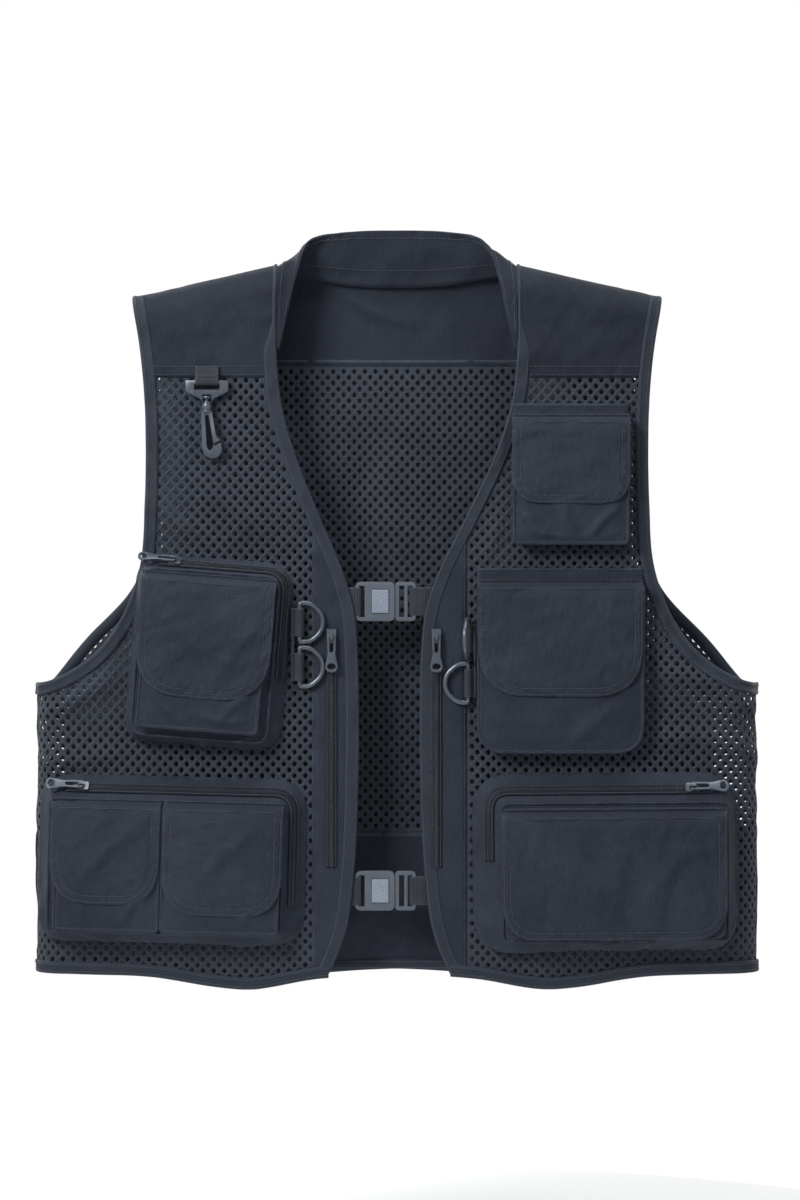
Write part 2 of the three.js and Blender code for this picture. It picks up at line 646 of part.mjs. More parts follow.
// Chest pocket, zipped, with one bellows patch pocket on its front
zippedPocket('chest_pocket', {
  x: -161, z: -337, turn: THREE.MathUtils.degToRad(4.5),
  back: { left: -68, right: 66, top: 80, bottom: -80 }, sag: 11, plain: 5,
  zipSide: 1, zipStart: -50, zipDrop: 92, pullX: -37,
  patch: { name: 'chest_patch_pocket', radius: 6,
    sheet: { left: -58, right: 47, top: 61, bottom: -68 } },
  flaps: [{ name: 'chest_flap', x: -5, width: 116, height: 104, radius: 44 }],
});

// The lower pockets fill the panel between the side seam and the placket
const SIDE_MARGIN = 5;
const PLACKET_MARGIN = 6;
const LOWER_RISE = 112;          // hem's lowest point to the middle of the lower pockets
const panelInner = OPENING_HALF + PLACKET_WIDTH + PLACKET_MARGIN;
const lowerLeft = { from: -HALF_WIDTH + SIDE_MARGIN, to: OPENING_MIDDLE - panelInner };
const lowerRight = { from: OPENING_MIDDLE + panelInner, to: HALF_WIDTH - SIDE_MARGIN * 4 };
const leftHalf = (lowerLeft.to - lowerLeft.from) / 2;
const rightHalf = (lowerRight.to - lowerRight.from) / 2;

// Lower left pocket, zipped, with two bellows patch pockets side by side
zippedPocket('lower_left_pocket', {
  x: (lowerLeft.from + lowerLeft.to) / 2, z: -BODY_LENGTH + LOWER_RISE,
  turn: THREE.MathUtils.degToRad(1.5),
  back: { left: -leftHalf, right: leftHalf, top: 71, bottom: -71 }, sag: 19, plain: 8,
  zipSide: 1, zipStart: -leftHalf + 22, zipDrop: 97, pullX: -leftHalf + 35,
  patch: { name: 'lower_left_patch_pockets', radius: 5, dividers: [-9],
    sheet: { left: -leftHalf + 14, right: leftHalf - 21, top: 46, bottom: -62 } },
  flaps: [
    { name: 'lower_left_flap_outer', x: (-leftHalf + 10 - 10) / 2, width: leftHalf - 20,
      height: 87, radius: 36 },
    { name: 'lower_left_flap_inner', x: (-8 + leftHalf - 19) / 2, width: leftHalf - 11,
      height: 95, radius: 36 },
  ],
});

// Lower right pocket, zipped, with one wide bellows patch pocket
zippedPocket('lower_right_pocket', {
  x: (lowerRight.from + lowerRight.to) / 2, z: -BODY_LENGTH + LOWER_RISE - 3,
  turn: THREE.MathUtils.degToRad(-0.5),
  back: { left: -rightHalf, right: rightHalf, top: 77, bottom: -74 }, sag: 24, plain: 8,
  zipSide: -1, zipStart: rightHalf - 24, zipDrop: 60, pullX: rightHalf - 38,
  patch: { name: 'lower_right_patch_pocket', radius: 8,
    sheet: { left: -rightHalf + 27, right: rightHalf - 12, top: 42, bottom: -64 } },
  flaps: [{ name: 'lower_right_flap', x: 7, width: 2 * rightHalf - 33, height: 110, radius: 34 }],
});

// ---------------------------------------------------------------- plain flap pockets

const FLAP_POCKET_DEPTH = 14;

// Bellows pocket sewn straight on the body cloth, with a band above the flap
function flapPocket(name, { x, z, sheet, bandHeight, flapWidth, flapHeight, radius, flapRadius }) {
  const group = new THREE.Group();
  group.position.set(x, -(HALF_DEPTH + GAP), z);
  vest.add(group);
  const hinge = sheet.top - bandHeight;
  const mouth = { ...sheet, top: hinge - MOUTH_CLEARANCE };
  const backing = plate(panelOutline(sheet, 0, radius), 0, WALL);
  const front = bellows(mouth, WALL - 0.2, FLAP_POCKET_DEPTH - WALL + 0.2, radius);
  add(`${name}_pocket`, backing.add(front), nylon, group);
  flap(`${name}_flap`, group, { x: 0, z: hinge, forward: WALL, width: flapWidth,
    height: flapHeight, reach: FLAP_POCKET_DEPTH - WALL + GAP, radius: flapRadius });
}

flapPocket('upper_right', { x: 150, z: -183, bandHeight: 12, radius: 6, flapRadius: 26,
  sheet: { left: -50, right: 50, top: 61, bottom: -61 }, flapWidth: 102, flapHeight: 75 });
flapPocket('middle_right', { x: 141, z: -344, bandHeight: 13, radius: 26, flapRadius: 44,
  sheet: { left: -72, right: 72, top: 80, bottom: -80 }, flapWidth: 142, flapHeight: 98 });

// ---------------------------------------------------------------- placket zips

const PLACKET_ZIP_TOP = 316;
const PLACKET_ZIP_RISE = 106;    // hem's lowest point to the bottom end of the zips
const PLACKET_ZIP_X = { left: -50, right: 40.5 };   // from the opening's middle

for (const [word] of sides) {
  const group = new THREE.Group();
  group.position.set(OPENING_MIDDLE + PLACKET_ZIP_X[word], -HALF_DEPTH, 0);
  vest.add(group);
  const ahead = new THREE.Vector3(0, -1, 0);
  const aside = new THREE.Vector3(1, 0, 0);
  const frames = [-PLACKET_ZIP_TOP, -BODY_LENGTH + PLACKET_ZIP_RISE].map((z) =>
    ({ at: new THREE.Vector3(0, 0, z), n: ahead, a: aside }));
  add(`placket_zip_${word}`, zipStrip(frames, ZIP_TAPE), zipCoil, group);
  const at = new THREE.Vector3(0, 0, -PLACKET_ZIP_TOP - SLIDER_LENGTH / 2 - 1);
  zipHardware(`placket_zip_${word}`, group, at, ahead, new THREE.Vector3(0, 0, -1));
}

// ---------------------------------------------------------------- D-rings

const ringForward = HALF_DEPTH + GAP + LOOP_WEBBING + GAP + RING_WIRE / 2;

// Ring in its own frame: the bar stands on the origin and the bow reaches towards +X
function ringSolid() {
  const wire = RING_WIRE / 2;
  const tall = RING_HEIGHT / 2 - wire;
  const far = RING_REACH - wire;
  const outline = rounded([[0, -tall], [0, tall], [far * 0.45, tall], [far, tall * 0.42],
    [far, -tall * 0.42], [far * 0.45, -tall]], [2, 2, 5, 6, 6, 5]);
  const section = [];
  for (let k = 0; k < 8; k += 1) {
    const turn = (k + 0.5) * Math.PI / 4;
    section.push([wire * Math.cos(turn), wire * Math.sin(turn)]);
  }
  const frames = outline.map(([x, z], i) => {
    const [x0, z0] = outline[(i + outline.length - 1) % outline.length];
    const [x1, z1] = outline[(i + 1) % outline.length];
    const along = new THREE.Vector3(x1 - x0, 0, z1 - z0).normalize();
    return { at: new THREE.Vector3(x, 0, z), n: new THREE.Vector3(-along.z, 0, along.x),
      a: new THREE.Vector3(0, -1, 0) };
  });
  return sweep(frames, section, true);
}

// Webbing folded round the bar of each ring of a side and sewn flat beyond it
function ringLoops(barX, way, heights) {
  const room = RING_WIRE / 2 + GAP;
  const back = ringForward - room - LOOP_WEBBING;
  const front = ringForward + room + LOOP_WEBBING;
  const sewn = barX - way * (room + LOOP_SEWN);
  const fold = barX + way * (room + LOOP_WEBBING);
  const span = (a, b, y0, y1, z0, z1) => box([Math.min(a, b), -y1, z0], [Math.max(a, b), -y0, z1]);
  const top = Math.max(...heights) + LOOP_HEIGHT / 2;
  const bottom = Math.min(...heights) - LOOP_HEIGHT / 2;
  const sewnEnd = barX - way * (room + 2);
  const strip = span(sewn, sewnEnd, back, back + 2 * LOOP_WEBBING + GAP, bottom, top);
  const loops = heights.map((z) => {
    const low = z - LOOP_HEIGHT / 2;
    const high = z + LOOP_HEIGHT / 2;
    const whole = span(barX - way * (room + 3), fold, back, front, low, high);
    const hollow = span(barX - way * room, barX + way * room, back + LOOP_WEBBING,
      front - LOOP_WEBBING, low - 1, high + 1);
    return whole.subtract(hollow);
  });
  return union(strip, ...loops);
}

const LEFT_BAR_X = OPENING_MIDDLE - OPENING_HALF - PLACKET_WIDTH - 10.5;
const RIGHT_BAR_X = OPENING_MIDDLE + OPENING_HALF + PLACKET_WIDTH + 1;
const RING_TOP_DROP = 311;       // shoulder line to the middle of the upper left ring
const rings = [
  ['d_ring_left_upper', LEFT_BAR_X, -RING_TOP_DROP, 0],
  ['d_ring_left_lower', LEFT_BAR_X, -RING_TOP_DROP - RING_PITCH, 0],
  ['d_ring_right_upper', RIGHT_BAR_X, -RING_TOP_DROP - 14, THREE.MathUtils.degToRad(260)],
  ['d_ring_right_lower', RIGHT_BAR_X, -RING_TOP_DROP - 14 - RING_PITCH, Math.PI],
];
for (const [name, x, z, turn] of rings) {
  const ring = add(name, ringSolid(), gunmetal);
  ring.position.set(x, -ringForward, z);
  ring.rotation.z = turn;
}
add('ring_webbing_left', ringLoops(LEFT_BAR_X, 1, [rings[0][2], rings[1][2]]), webbing);
add('ring_webbing_right', ringLoops(RIGHT_BAR_X, -1, [rings[2][2], rings[3][2]]), webbing);

// ---------------------------------------------------------------- buckles

const MALE_DEPTH = BUCKLE_DEPTH - 2;
// Forward distances: the webbing sewn inside the front, and the buckle, which slides out behind it
const strapMiddle = HALF_DEPTH - CLOTH - GAP - WEBBING / 2;
const buckleMiddle = HALF_DEPTH - CLOTH - GAP - MALE_DEPTH / 2;
const FEMALE_LEFT = -36 - OPENING_MIDDLE;                      // from the opening's middle
const BUTTON_LEFT = 14;                                        // from the female's left end
const STRAP_SLOT = 5;
const STRAP_BAR = 3;

function buckle(word, drop) {
  const group = new THREE.Group();
  group.position.set(OPENING_MIDDLE + FEMALE_LEFT, -buckleMiddle, -drop);
  vest.add(group);
  const half = BUCKLE_HEIGHT / 2;
  const deep = BUCKLE_DEPTH / 2;
  const slotHalf = STRAP_WIDTH / 2 + 1;

  const cavityLeft = STRAP_BAR + STRAP_SLOT + STRAP_BAR;
  const housing = plate(panelOutline({ left: 0, right: FEMALE_LENGTH, top: half, bottom: -half },
    5, 5), -deep, deep);
  const cavity = box([cavityLeft, -deep + BUCKLE_WALL, -TONGUE_HEIGHT / 2 - GAP],
    [FEMALE_LENGTH + 1, deep - BUCKLE_WALL, TONGUE_HEIGHT / 2 + GAP]);
  const strapSlot = box([STRAP_BAR, -deep - 1, -slotHalf], [STRAP_BAR + STRAP_SLOT, deep + 1, slotHalf]);
  const barRelief = box([-1, -WEBBING / 2 - GAP, -slotHalf], [STRAP_BAR + 1, deep + 1, slotHalf]);
  const window = box([BUTTON_LEFT, -deep - 1, -BUTTON_HEIGHT / 2],
    [BUTTON_LEFT + BUTTON_LENGTH, -deep + BUCKLE_WALL + 1, BUTTON_HEIGHT / 2]);
  add(`buckle_${word}_female`, housing.subtract(cavity).subtract(strapSlot)
    .subtract(barRelief).subtract(window), buckleShell, group);

  const lipBack = deep - BUCKLE_WALL - GAP;
  const lipFront = lipBack - BUTTON_LIP;
  const button = box([GAP, -deep - BUTTON_PROUD, -BUTTON_HEIGHT / 2 + GAP],
    [BUTTON_LENGTH - GAP, -lipFront, BUTTON_HEIGHT / 2 - GAP])
    .add(box([-BUTTON_LIP, -lipBack, -BUTTON_HEIGHT / 2 - BUTTON_LIP + GAP],
      [BUTTON_LENGTH + BUTTON_LIP, -lipFront, BUTTON_HEIGHT / 2 + BUTTON_LIP - GAP]));
  const piece = add(`buckle_${word}_button`, button, buckleButton, group);
  piece.position.x = BUTTON_LEFT;

  const tongueBack = -deep + BUCKLE_WALL + GAP;
  const frameEnd = FEMALE_LENGTH + GAP + MALE_LENGTH;
  const frame = plate(panelOutline({ left: FEMALE_LENGTH + GAP, right: frameEnd, top: half,
    bottom: -half }, 4, 4), -MALE_DEPTH / 2, MALE_DEPTH / 2);
  const firstSlot = box([frameEnd - STRAP_BAR - 4, -deep - 1, -slotHalf],
    [frameEnd - STRAP_BAR, deep + 1, slotHalf]);
  const secondSlot = box([FEMALE_LENGTH + GAP + 3.5, -deep - 1, -slotHalf],
    [frameEnd - STRAP_BAR - 4 - 3, deep + 1, slotHalf]);
  const endRelief = box([frameEnd - STRAP_BAR - 1, -WEBBING / 2 - GAP, -slotHalf],
    [frameEnd + 1, deep + 1, slotHalf]);
  const tongue = plate(panelOutline({ left: FEMALE_LENGTH - TONGUE_LENGTH, right: FEMALE_LENGTH + 3,
    top: TONGUE_HEIGHT / 2, bottom: -TONGUE_HEIGHT / 2 }, 3, 0), tongueBack,
  tongueBack + TONGUE_THICKNESS);
  add(`buckle_${word}_male`, frame.subtract(firstSlot).subtract(secondSlot)
    .subtract(endRelief).add(tongue), buckleShell, group);

  // Each strap runs behind its buckle's end bar, stops in the slot and rises to the cloth
  const strap = (inside, end, way) => {
    const middles = [[inside, 0], [end + way, 0], [end + way * (1 + STRAP_RISE),
      buckleMiddle - strapMiddle], [inside + way * STRAP_LENGTH, buckleMiddle - strapMiddle]];
    const faces = [...middles.map(([x, y]) => [x, y - WEBBING / 2]),
      ...middles.map(([x, y]) => [x, y + WEBBING / 2]).reverse()];
    return plate(faces, -STRAP_WIDTH / 2, STRAP_WIDTH / 2).rotate([-90, 0, 0]);
  };
  add(`strap_${word}_left`, strap(STRAP_BAR + STRAP_SLOT - 1, 0, -1), webbing, group);
  add(`strap_${word}_right`, strap(frameEnd - STRAP_BAR - 3, frameEnd, 1), webbing, group);
}
buckle('upper', 293);
buckle('lower', BODY_LENGTH - 85);

// ---------------------------------------------------------------- swivel hook

// Webbing tab in the yoke's lower seam, folded round the hook's bar
function hookTab() {
  const half = HOOK_TAB_WIDTH / 2;
  const face = HALF_DEPTH;
  const back = face + GAP;
  const room = HOOK_BAR_ROOM;
  const barForward = back + LOOP_WEBBING + room;
  const front = barForward + room;
  const barZ = -FRONT_YOKE_DROP - 6;
  const low = barZ - room - LOOP_WEBBING;
  const span = (y0, y1, z0, z1) => box([HOOK_X - half, -y1, z0], [HOOK_X + half, -y0, z1]);
  const seam = -FRONT_YOKE_DROP + 0.5;
  const loop = span(back, front + LOOP_WEBBING, low, seam + 3)
    .subtract(box([HOOK_X - half - 1, -front, barZ - room], [HOOK_X + half + 1,
      -back - LOOP_WEBBING, barZ + room]));
  return loop.add(span(face - CLOTH / 2, back + 0.5, seam, seam + 3));
}

function swivelHook() {
  const barForward = HALF_DEPTH + GAP + LOOP_WEBBING + HOOK_BAR_ROOM;
  const group = new THREE.Group();
  group.position.set(HOOK_X, -barForward, -FRONT_YOKE_DROP - 6);
  vest.add(group);

  const halfWide = HOOK_BASE_WIDTH / 2;
  const halfTab = HOOK_TAB_WIDTH / 2 + 1;
  const bar = HOOK_BAR / 2;
  const collarRadius = HOOK_POST_RADIUS + GAP + 1.6;
  const outline = rounded([[-halfWide, bar], [halfWide, bar], [halfWide, -8], [collarRadius, -15],
    [collarRadius, -HOOK_BASE_DROP], [-collarRadius, -HOOK_BASE_DROP], [-collarRadius, -15],
    [-halfWide, -8]], [1.5, 1.5, 3, 3, 1, 1, 3, 3]);
  const slot = box([-halfTab, -10, -bar - 5], [halfTab, 10, -bar]);
  const notch = box([-HOOK_POST_RADIUS - 1.6, -10, -18.5], [HOOK_POST_RADIUS + 1.6, 10, -10.5]);
  const bore = new THREE.CylinderGeometry(HOOK_POST_RADIUS + GAP, HOOK_POST_RADIUS + GAP, 12, 20);
  bore.rotateX(Math.PI / 2).translate(0, -HOOK_POST_FORWARD, -HOOK_BASE_DROP + 2);
  const sleeve = new THREE.CylinderGeometry(collarRadius, collarRadius, HOOK_BASE_DROP - 18.5, 20);
  sleeve.rotateX(Math.PI / 2).translate(0, -HOOK_POST_FORWARD, -(HOOK_BASE_DROP + 18.5) / 2);
  const base = plate(outline, -bar, bar).subtract(slot).add(toSolid(sleeve))
    .subtract(toSolid(bore)).subtract(notch);
  add('hook_base', base, gunmetal, group);

  // Post head in the notch, neck through the sleeve, then the hook with its sprung gate gap
  const turned = new THREE.LatheGeometry([[0, -12.2], [HOOK_POST_RADIUS + 1.2, -12.2],
    [HOOK_POST_RADIUS + 1.2, -14], [HOOK_POST_RADIUS - 1, -14.4], [HOOK_POST_RADIUS - 1, -16.4],
    [HOOK_POST_RADIUS + 1.2, -16.8], [HOOK_POST_RADIUS + 1.2, -18.2], [HOOK_POST_RADIUS, -18.2],
    [HOOK_POST_RADIUS, -HOOK_BASE_DROP - GAP], [HOOK_POST_RADIUS + 2.2, -HOOK_BASE_DROP - GAP],
    [HOOK_POST_RADIUS + 2.2, -HOOK_BASE_DROP - 2.2], [0, -HOOK_BASE_DROP - 2.2]]
    .map(([r, y]) => new THREE.Vector2(r, y)).reverse(), 20);
  turned.rotateX(Math.PI / 2);
  const top = -HOOK_BASE_DROP - 1.6;
  const low = top - HOOK_DROP;
  const outer = rounded([[-4.5, top], [4.5, top], [8.5, low + 18], [12, low + 16], [13.5, low + 6],
    [9, low], [1, low], [-4, low + 7]], [0, 0, 2, 1.5, 3.5, 3.2, 3.2, 4]);
  const eye = rounded([[-1.5, top - 2.5], [1.6, top - 2.5], [6.4, low + 11], [3, low + 6],
    [0.2, low + 9]], [1, 1, 2, 2, 2]);
  const mouth = [[6.2, low + 12.6], [14.5, low + 17], [14.5, low + 14.6], [7, low + 10.6]];
  const half = HOOK_THICKNESS / 2;
  const hook = plate(outer, -half, half).subtract(plate(eye, -half - 1, half + 1))
    .subtract(plate(mouth, -half - 1, half + 1)).add(toSolid(turned));
  const piece = add('swivel_hook', hook, gunmetal, group);
  piece.position.y = -HOOK_POST_FORWARD;
}
swivelHook();

export default vest;
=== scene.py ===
"""Fishing vest: cloth, netting, pockets, zips, webbing and hardware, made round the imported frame.

Lengths are worked out in millimetres and become metres where a mesh is made. +Z is up and the
front faces -Y; "forward" distances run towards -Y. Names say left and right as seen from the front.
"""
import json
import math

import bmesh
import bpy
import numpy as np
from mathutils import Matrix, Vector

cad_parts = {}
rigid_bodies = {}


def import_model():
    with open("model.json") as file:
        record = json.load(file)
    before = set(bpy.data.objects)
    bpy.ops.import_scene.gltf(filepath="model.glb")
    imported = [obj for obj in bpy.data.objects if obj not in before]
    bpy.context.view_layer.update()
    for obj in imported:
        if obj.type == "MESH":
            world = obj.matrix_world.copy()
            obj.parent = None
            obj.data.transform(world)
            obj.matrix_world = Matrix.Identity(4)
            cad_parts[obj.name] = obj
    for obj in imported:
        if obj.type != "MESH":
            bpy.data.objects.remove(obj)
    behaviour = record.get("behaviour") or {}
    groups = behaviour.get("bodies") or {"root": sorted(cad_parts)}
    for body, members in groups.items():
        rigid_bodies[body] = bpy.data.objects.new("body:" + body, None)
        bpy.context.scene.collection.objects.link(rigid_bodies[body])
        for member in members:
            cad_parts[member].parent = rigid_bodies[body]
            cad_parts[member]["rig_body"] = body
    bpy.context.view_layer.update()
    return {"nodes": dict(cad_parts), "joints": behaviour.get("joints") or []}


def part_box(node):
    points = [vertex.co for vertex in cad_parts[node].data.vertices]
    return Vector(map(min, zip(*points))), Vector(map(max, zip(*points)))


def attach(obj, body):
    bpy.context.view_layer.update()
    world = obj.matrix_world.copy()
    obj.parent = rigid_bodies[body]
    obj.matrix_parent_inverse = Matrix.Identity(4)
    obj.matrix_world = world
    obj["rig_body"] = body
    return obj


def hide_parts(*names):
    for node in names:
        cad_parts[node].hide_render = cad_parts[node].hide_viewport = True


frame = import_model()
JOINTS = {joint["name"]: joint for joint in frame["joints"]}
MM = 0.001

# ---------------------------------------------------------------- body sizes, as in the frame

HALF_WIDTH = 313
HALF_DEPTH = 24
BODY_LENGTH = 628
SHOULDER_SLOPE = 0.23
SHOULDER_HALF = 230
CHEST_HALF = 217
ARMHOLE_DEPTH = 363
BACK_ARMHOLE_RISE = 24
SCOOP_SHARE = 0.88
FRONT_YOKE_DROP = 98
BACK_YOKE_DROP = 85
BACK_PANEL_TOP = 494
NECK_HALF = 104
BACK_NECK_DROP = 11
COLLAR_RISE = 31
COLLAR_TIP_DROP = 76
V_DEPTH = 320
OPENING_MIDDLE = -6.5
OPENING_HALF = 27
PLACKET_WIDTH = 40
HIGH = 60

# ---------------------------------------------------------------- camera, light and floor

VIEW_CENTRE = (2.6, -291.7)      # middle of the view: across, and under the shoulder line
VIEW_HEIGHT = 1036
CAMERA_AWAY = 3200
SENSOR = 36


def camera():
    """Camera straight in front, its lens long enough for the whole vest with its margins."""
    data = bpy.data.cameras.new("camera")
    data.sensor_width = SENSOR
    data.lens = SENSOR * (CAMERA_AWAY - HALF_DEPTH) / VIEW_HEIGHT
    data.clip_end = 50
    seen = bpy.data.objects.new("camera", data)
    seen.location = (VIEW_CENTRE[0] * MM, -CAMERA_AWAY * MM, VIEW_CENTRE[1] * MM)
    seen.rotation_euler = (math.pi / 2, 0, 0)
    bpy.context.scene.collection.objects.link(seen)
    bpy.context.scene.camera = seen


def lamp(name, place, aim, size, power):
    """Square soft light at a place, turned to its aim; places in metres."""
    data = bpy.data.lights.new(name, "AREA")
    data.size = size
    data.energy = power
    light = bpy.data.objects.new(name, data)
    light.location = place
    way = np.subtract(aim, place)
    flat = math.hypot(way[0], way[1])
    light.rotation_euler = (math.atan2(flat, -way[2]), 0, math.atan2(-way[0], way[1]))
    bpy.context.scene.collection.objects.link(light)


def studio():
    """White surroundings, one key light high on the left, a broad fill and two rim lights."""
    middle = (0, 0, -0.3)
    lamp("key", (-1.15, -1.4, 0.75), middle, 0.7, 38)
    lamp("fill", (1.9, -2.2, 0.0), middle, 2.2, 2.6)
    lamp("top", (0.2, -0.4, 1.9), middle, 1.2, 22)
    lamp("back_left", (-1.6, 2.0, 0.9), middle, 1.4, 45)
    lamp("back_right", (1.8, 1.8, 0.4), middle, 1.8, 30)
    world = bpy.data.worlds.new("studio")
    world.use_nodes = True
    nodes, links = world.node_tree.nodes, world.node_tree.links
    shown = nodes["Background"]
    shown.inputs["Color"].default_value = (1, 1, 1, 1)
    shown.inputs["Strength"].default_value = 1.0
    soft = nodes.new("ShaderNodeBackground")
    soft.inputs["Color"].default_value = (0.93, 0.96, 1, 1)
    soft.inputs["Strength"].default_value = 0.4
    path, mixed = nodes.new("ShaderNodeLightPath"), nodes.new("ShaderNodeMixShader")
    links.new(path.outputs["Is Camera Ray"], mixed.inputs[0])
    links.new(soft.outputs[0], mixed.inputs[1])
    links.new(shown.outputs[0], mixed.inputs[2])
    links.new(mixed.outputs[0], nodes["World Output"].inputs["Surface"])
    bpy.context.scene.world = world
    view = bpy.context.scene.view_settings
    view.view_transform = "Standard"
    view.look = "None"


def floor():
    """Pale round floor well under the hem."""
    turns = np.linspace(0, 2 * np.pi, 64, endpoint=False)
    ring = np.stack([620 * np.cos(turns), 620 * np.sin(turns), np.full(64, -880.0)], 1)
    mesh = bpy.data.meshes.new("floor")
    mesh.from_pydata((ring * MM).tolist(), [], [list(range(64))])
    ground = bpy.data.objects.new("floor", mesh)
    bpy.context.scene.collection.objects.link(ground)
    pale = bpy.data.materials.new("floor")
    pale.use_nodes = True
    base = pale.node_tree.nodes["Principled BSDF"]
    base.inputs["Base Color"].default_value = (0.86, 0.86, 0.85, 1)
    base.inputs["Roughness"].default_value = 0.7
    mesh.materials.append(pale)


# ---------------------------------------------------------------- shader maths


class Field:
    """Output of a shader node; arithmetic on it adds Math nodes to its material."""

    def __init__(self, finish, socket):
        self.finish, self.socket = finish, socket

    def math(self, operation, *others, swapped=False):
        values = (*others, self) if swapped else (self, *others)
        return self.finish.node("Math", {"operation": operation}, dict(enumerate(values)))

    def __add__(self, other):
        return self.math("ADD", other)

    def __radd__(self, other):
        return self.math("ADD", other)

    def __sub__(self, other):
        return self.math("SUBTRACT", other)

    def __rsub__(self, other):
        return self.math("SUBTRACT", other, swapped=True)

    def __mul__(self, other):
        return self.math("MULTIPLY", other)

    def __rmul__(self, other):
        return self.math("MULTIPLY", other)

    def __truediv__(self, other):
        return self.math("DIVIDE", other)

    def __pow__(self, other):
        return self.math("POWER", other)

    def sine(self):
        return self.math("SINE")

    def absolute(self):
        return self.math("ABSOLUTE")

    def step(self, low, high):
        return self.finish.step(self, low, high)


class Finish:
    """A material under construction: its one method node() adds any shader node."""

    def __init__(self, name, roughness=0.6, metallic=0.0, **fixed):
        self.material = bpy.data.materials.new(name)
        self.material.use_nodes = True
        self.tree = self.material.node_tree
        self.shader = self.tree.nodes["Principled BSDF"]
        for socket, value in {"Roughness": roughness, "Metallic": metallic, **fixed}.items():
            self.shader.inputs[socket].default_value = value

    def node(self, kind, settings=None, inputs=None, output=0):
        """Adds a node, sets its settings, fills its inputs and returns one of its outputs."""
        made = self.tree.nodes.new("ShaderNode" + kind)
        for key, value in (settings or {}).items():
            if key == "stops":
                ramp = made.color_ramp.elements
                while len(ramp) < len(value):
                    ramp.new(0.5)
                for stop, (place, colour) in zip(ramp, value):
                    stop.position, stop.color = place, (*colour, 1)
            else:
                setattr(made, key, value)
        for key, value in (inputs or {}).items():
            if isinstance(value, Field):
                self.tree.links.new(value.socket, made.inputs[key])
            else:
                made.inputs[key].default_value = value
        return Field(self, made.outputs[output])

    def to(self, socket, value):
        self.tree.links.new(value.socket, self.shader.inputs[socket])

    def cloth_axes(self):
        """Across and along the cloth in millimetres, from the piece's own UV map."""
        uv = self.node("UVMap", {"uv_map": "cloth"})
        parts = {"Vector": uv}
        return (self.node("SeparateXYZ", None, parts, 0) * 1000,
                self.node("SeparateXYZ", None, parts, 1) * 1000)

    def place(self):
        return self.node("TexCoord", output="Object")

    def noise(self, vector, scale, detail=3.0, roughness=0.55):
        return self.node("TexNoise", None, {"Vector": vector, "Scale": scale, "Detail": detail,
                                             "Roughness": roughness}, "Fac")

    def step(self, value, low, high):
        return self.node("MapRange", {"interpolation_type": "SMOOTHSTEP"},
                         {"Value": value, "From Min": low, "From Max": high})

    def mix(self, share, first, second):
        """Colour between two colours, each a tuple or a Field."""
        four = [c if isinstance(c, Field) else (*c, 1) for c in (first, second)]
        return self.node("Mix", {"data_type": "RGBA"}, {0: share, 6: four[0], 7: four[1]}, 2)

    def bump(self, *layers):
        """Stacked bump nodes; each layer is a height Field and its depth in millimetres."""
        normal = None
        for height, depth in layers:
            inputs = {"Height": height, "Distance": depth * MM, "Strength": 1.0}
            if normal is not None:
                inputs["Normal"] = normal
            normal = self.node("Bump", None, inputs)
        self.to("Normal", normal)


def wear(finish):
    """Share of edge wear that a piece carries in its own attribute."""
    return finish.node("Attribute", {"attribute_name": "wear"}, output="Fac")


def nylon(name, base, light, pitch=0.55, fixed=None):
    """Plain weave: threads over and under at the pitch, slubs, soft creases and worn edges."""
    cloth = Finish(name, **{"Sheen Weight": 0.07, "Sheen Roughness": 0.4,
                            "Specular IOR Level": 0.22, **(fixed or {})})
    across, along = cloth.cloth_axes()
    turn = math.pi / pitch
    warp, weft = (across * turn).sine(), (along * turn).sine()
    weave = (warp * weft).absolute()
    place = cloth.place()
    stretched = cloth.node("Mapping", None, {"Vector": place, "Scale": (1.0, 1.0, 0.12)})
    slub = cloth.noise(stretched, 900, 2.0)
    cloud = cloth.noise(place, 14, 4.0)
    crease = cloth.noise(place, 95, 6.0, 0.62)
    tone = cloth.step(cloud * 0.5 + slub * 0.35 + weave * 0.22, 0.3, 0.78)
    body = cloth.mix(tone, base, light)
    worn = tuple(min(1, c * 1.7 + 0.012) for c in light)
    cloth.to("Base Color", cloth.mix(wear(cloth) * cloth.step(crease, 0.35, 0.7) * 0.55, body, worn))
    cloth.to("Roughness", 0.62 + weave * 0.14 + (crease - 0.5) * 0.25)
    cloth.bump((crease, 0.9), (cloth.noise(place, 320, 3.0), 0.16), (weave, 0.09), (slub, 0.05))
    return cloth.material


def netting():
    """Warp-knitted yarn: chains of loops that lean left and right, with a painted highlight where they bulge.
    """
    cloth = Finish("netting", **{"Sheen Weight": 0.08, "Sheen Roughness": 0.5,
                                 "Specular IOR Level": 0.24})
    across, along = cloth.cloth_axes()
    wale, course = (across * (math.pi / 0.78)), (along * (math.pi / 0.62))
    loops = (wale + course.sine() * 0.7).sine().absolute()
    ticks = (course + wale.sine() * 0.5).sine().absolute()
    yarn = loops * 0.6 + ticks * 0.4
    cloud = cloth.noise(cloth.place(), 20, 3.0)
    # Colour follows the yarn's bulges: a painted highlight on the loops, mixed with random tone from the
    # cloud.
    tone = cloth.step(yarn * 0.75 + cloud * 0.4, 0.25, 1.0)
    cloth.to("Base Color", cloth.mix(tone, (0.0135, 0.0165, 0.0245), (0.056, 0.068, 0.092)))
    cloth.to("Roughness", 0.68 + yarn * 0.12)
    cloth.bump((yarn, 0.35), (cloth.noise(cloth.place(), 600, 2.0), 0.1))
    return cloth.material


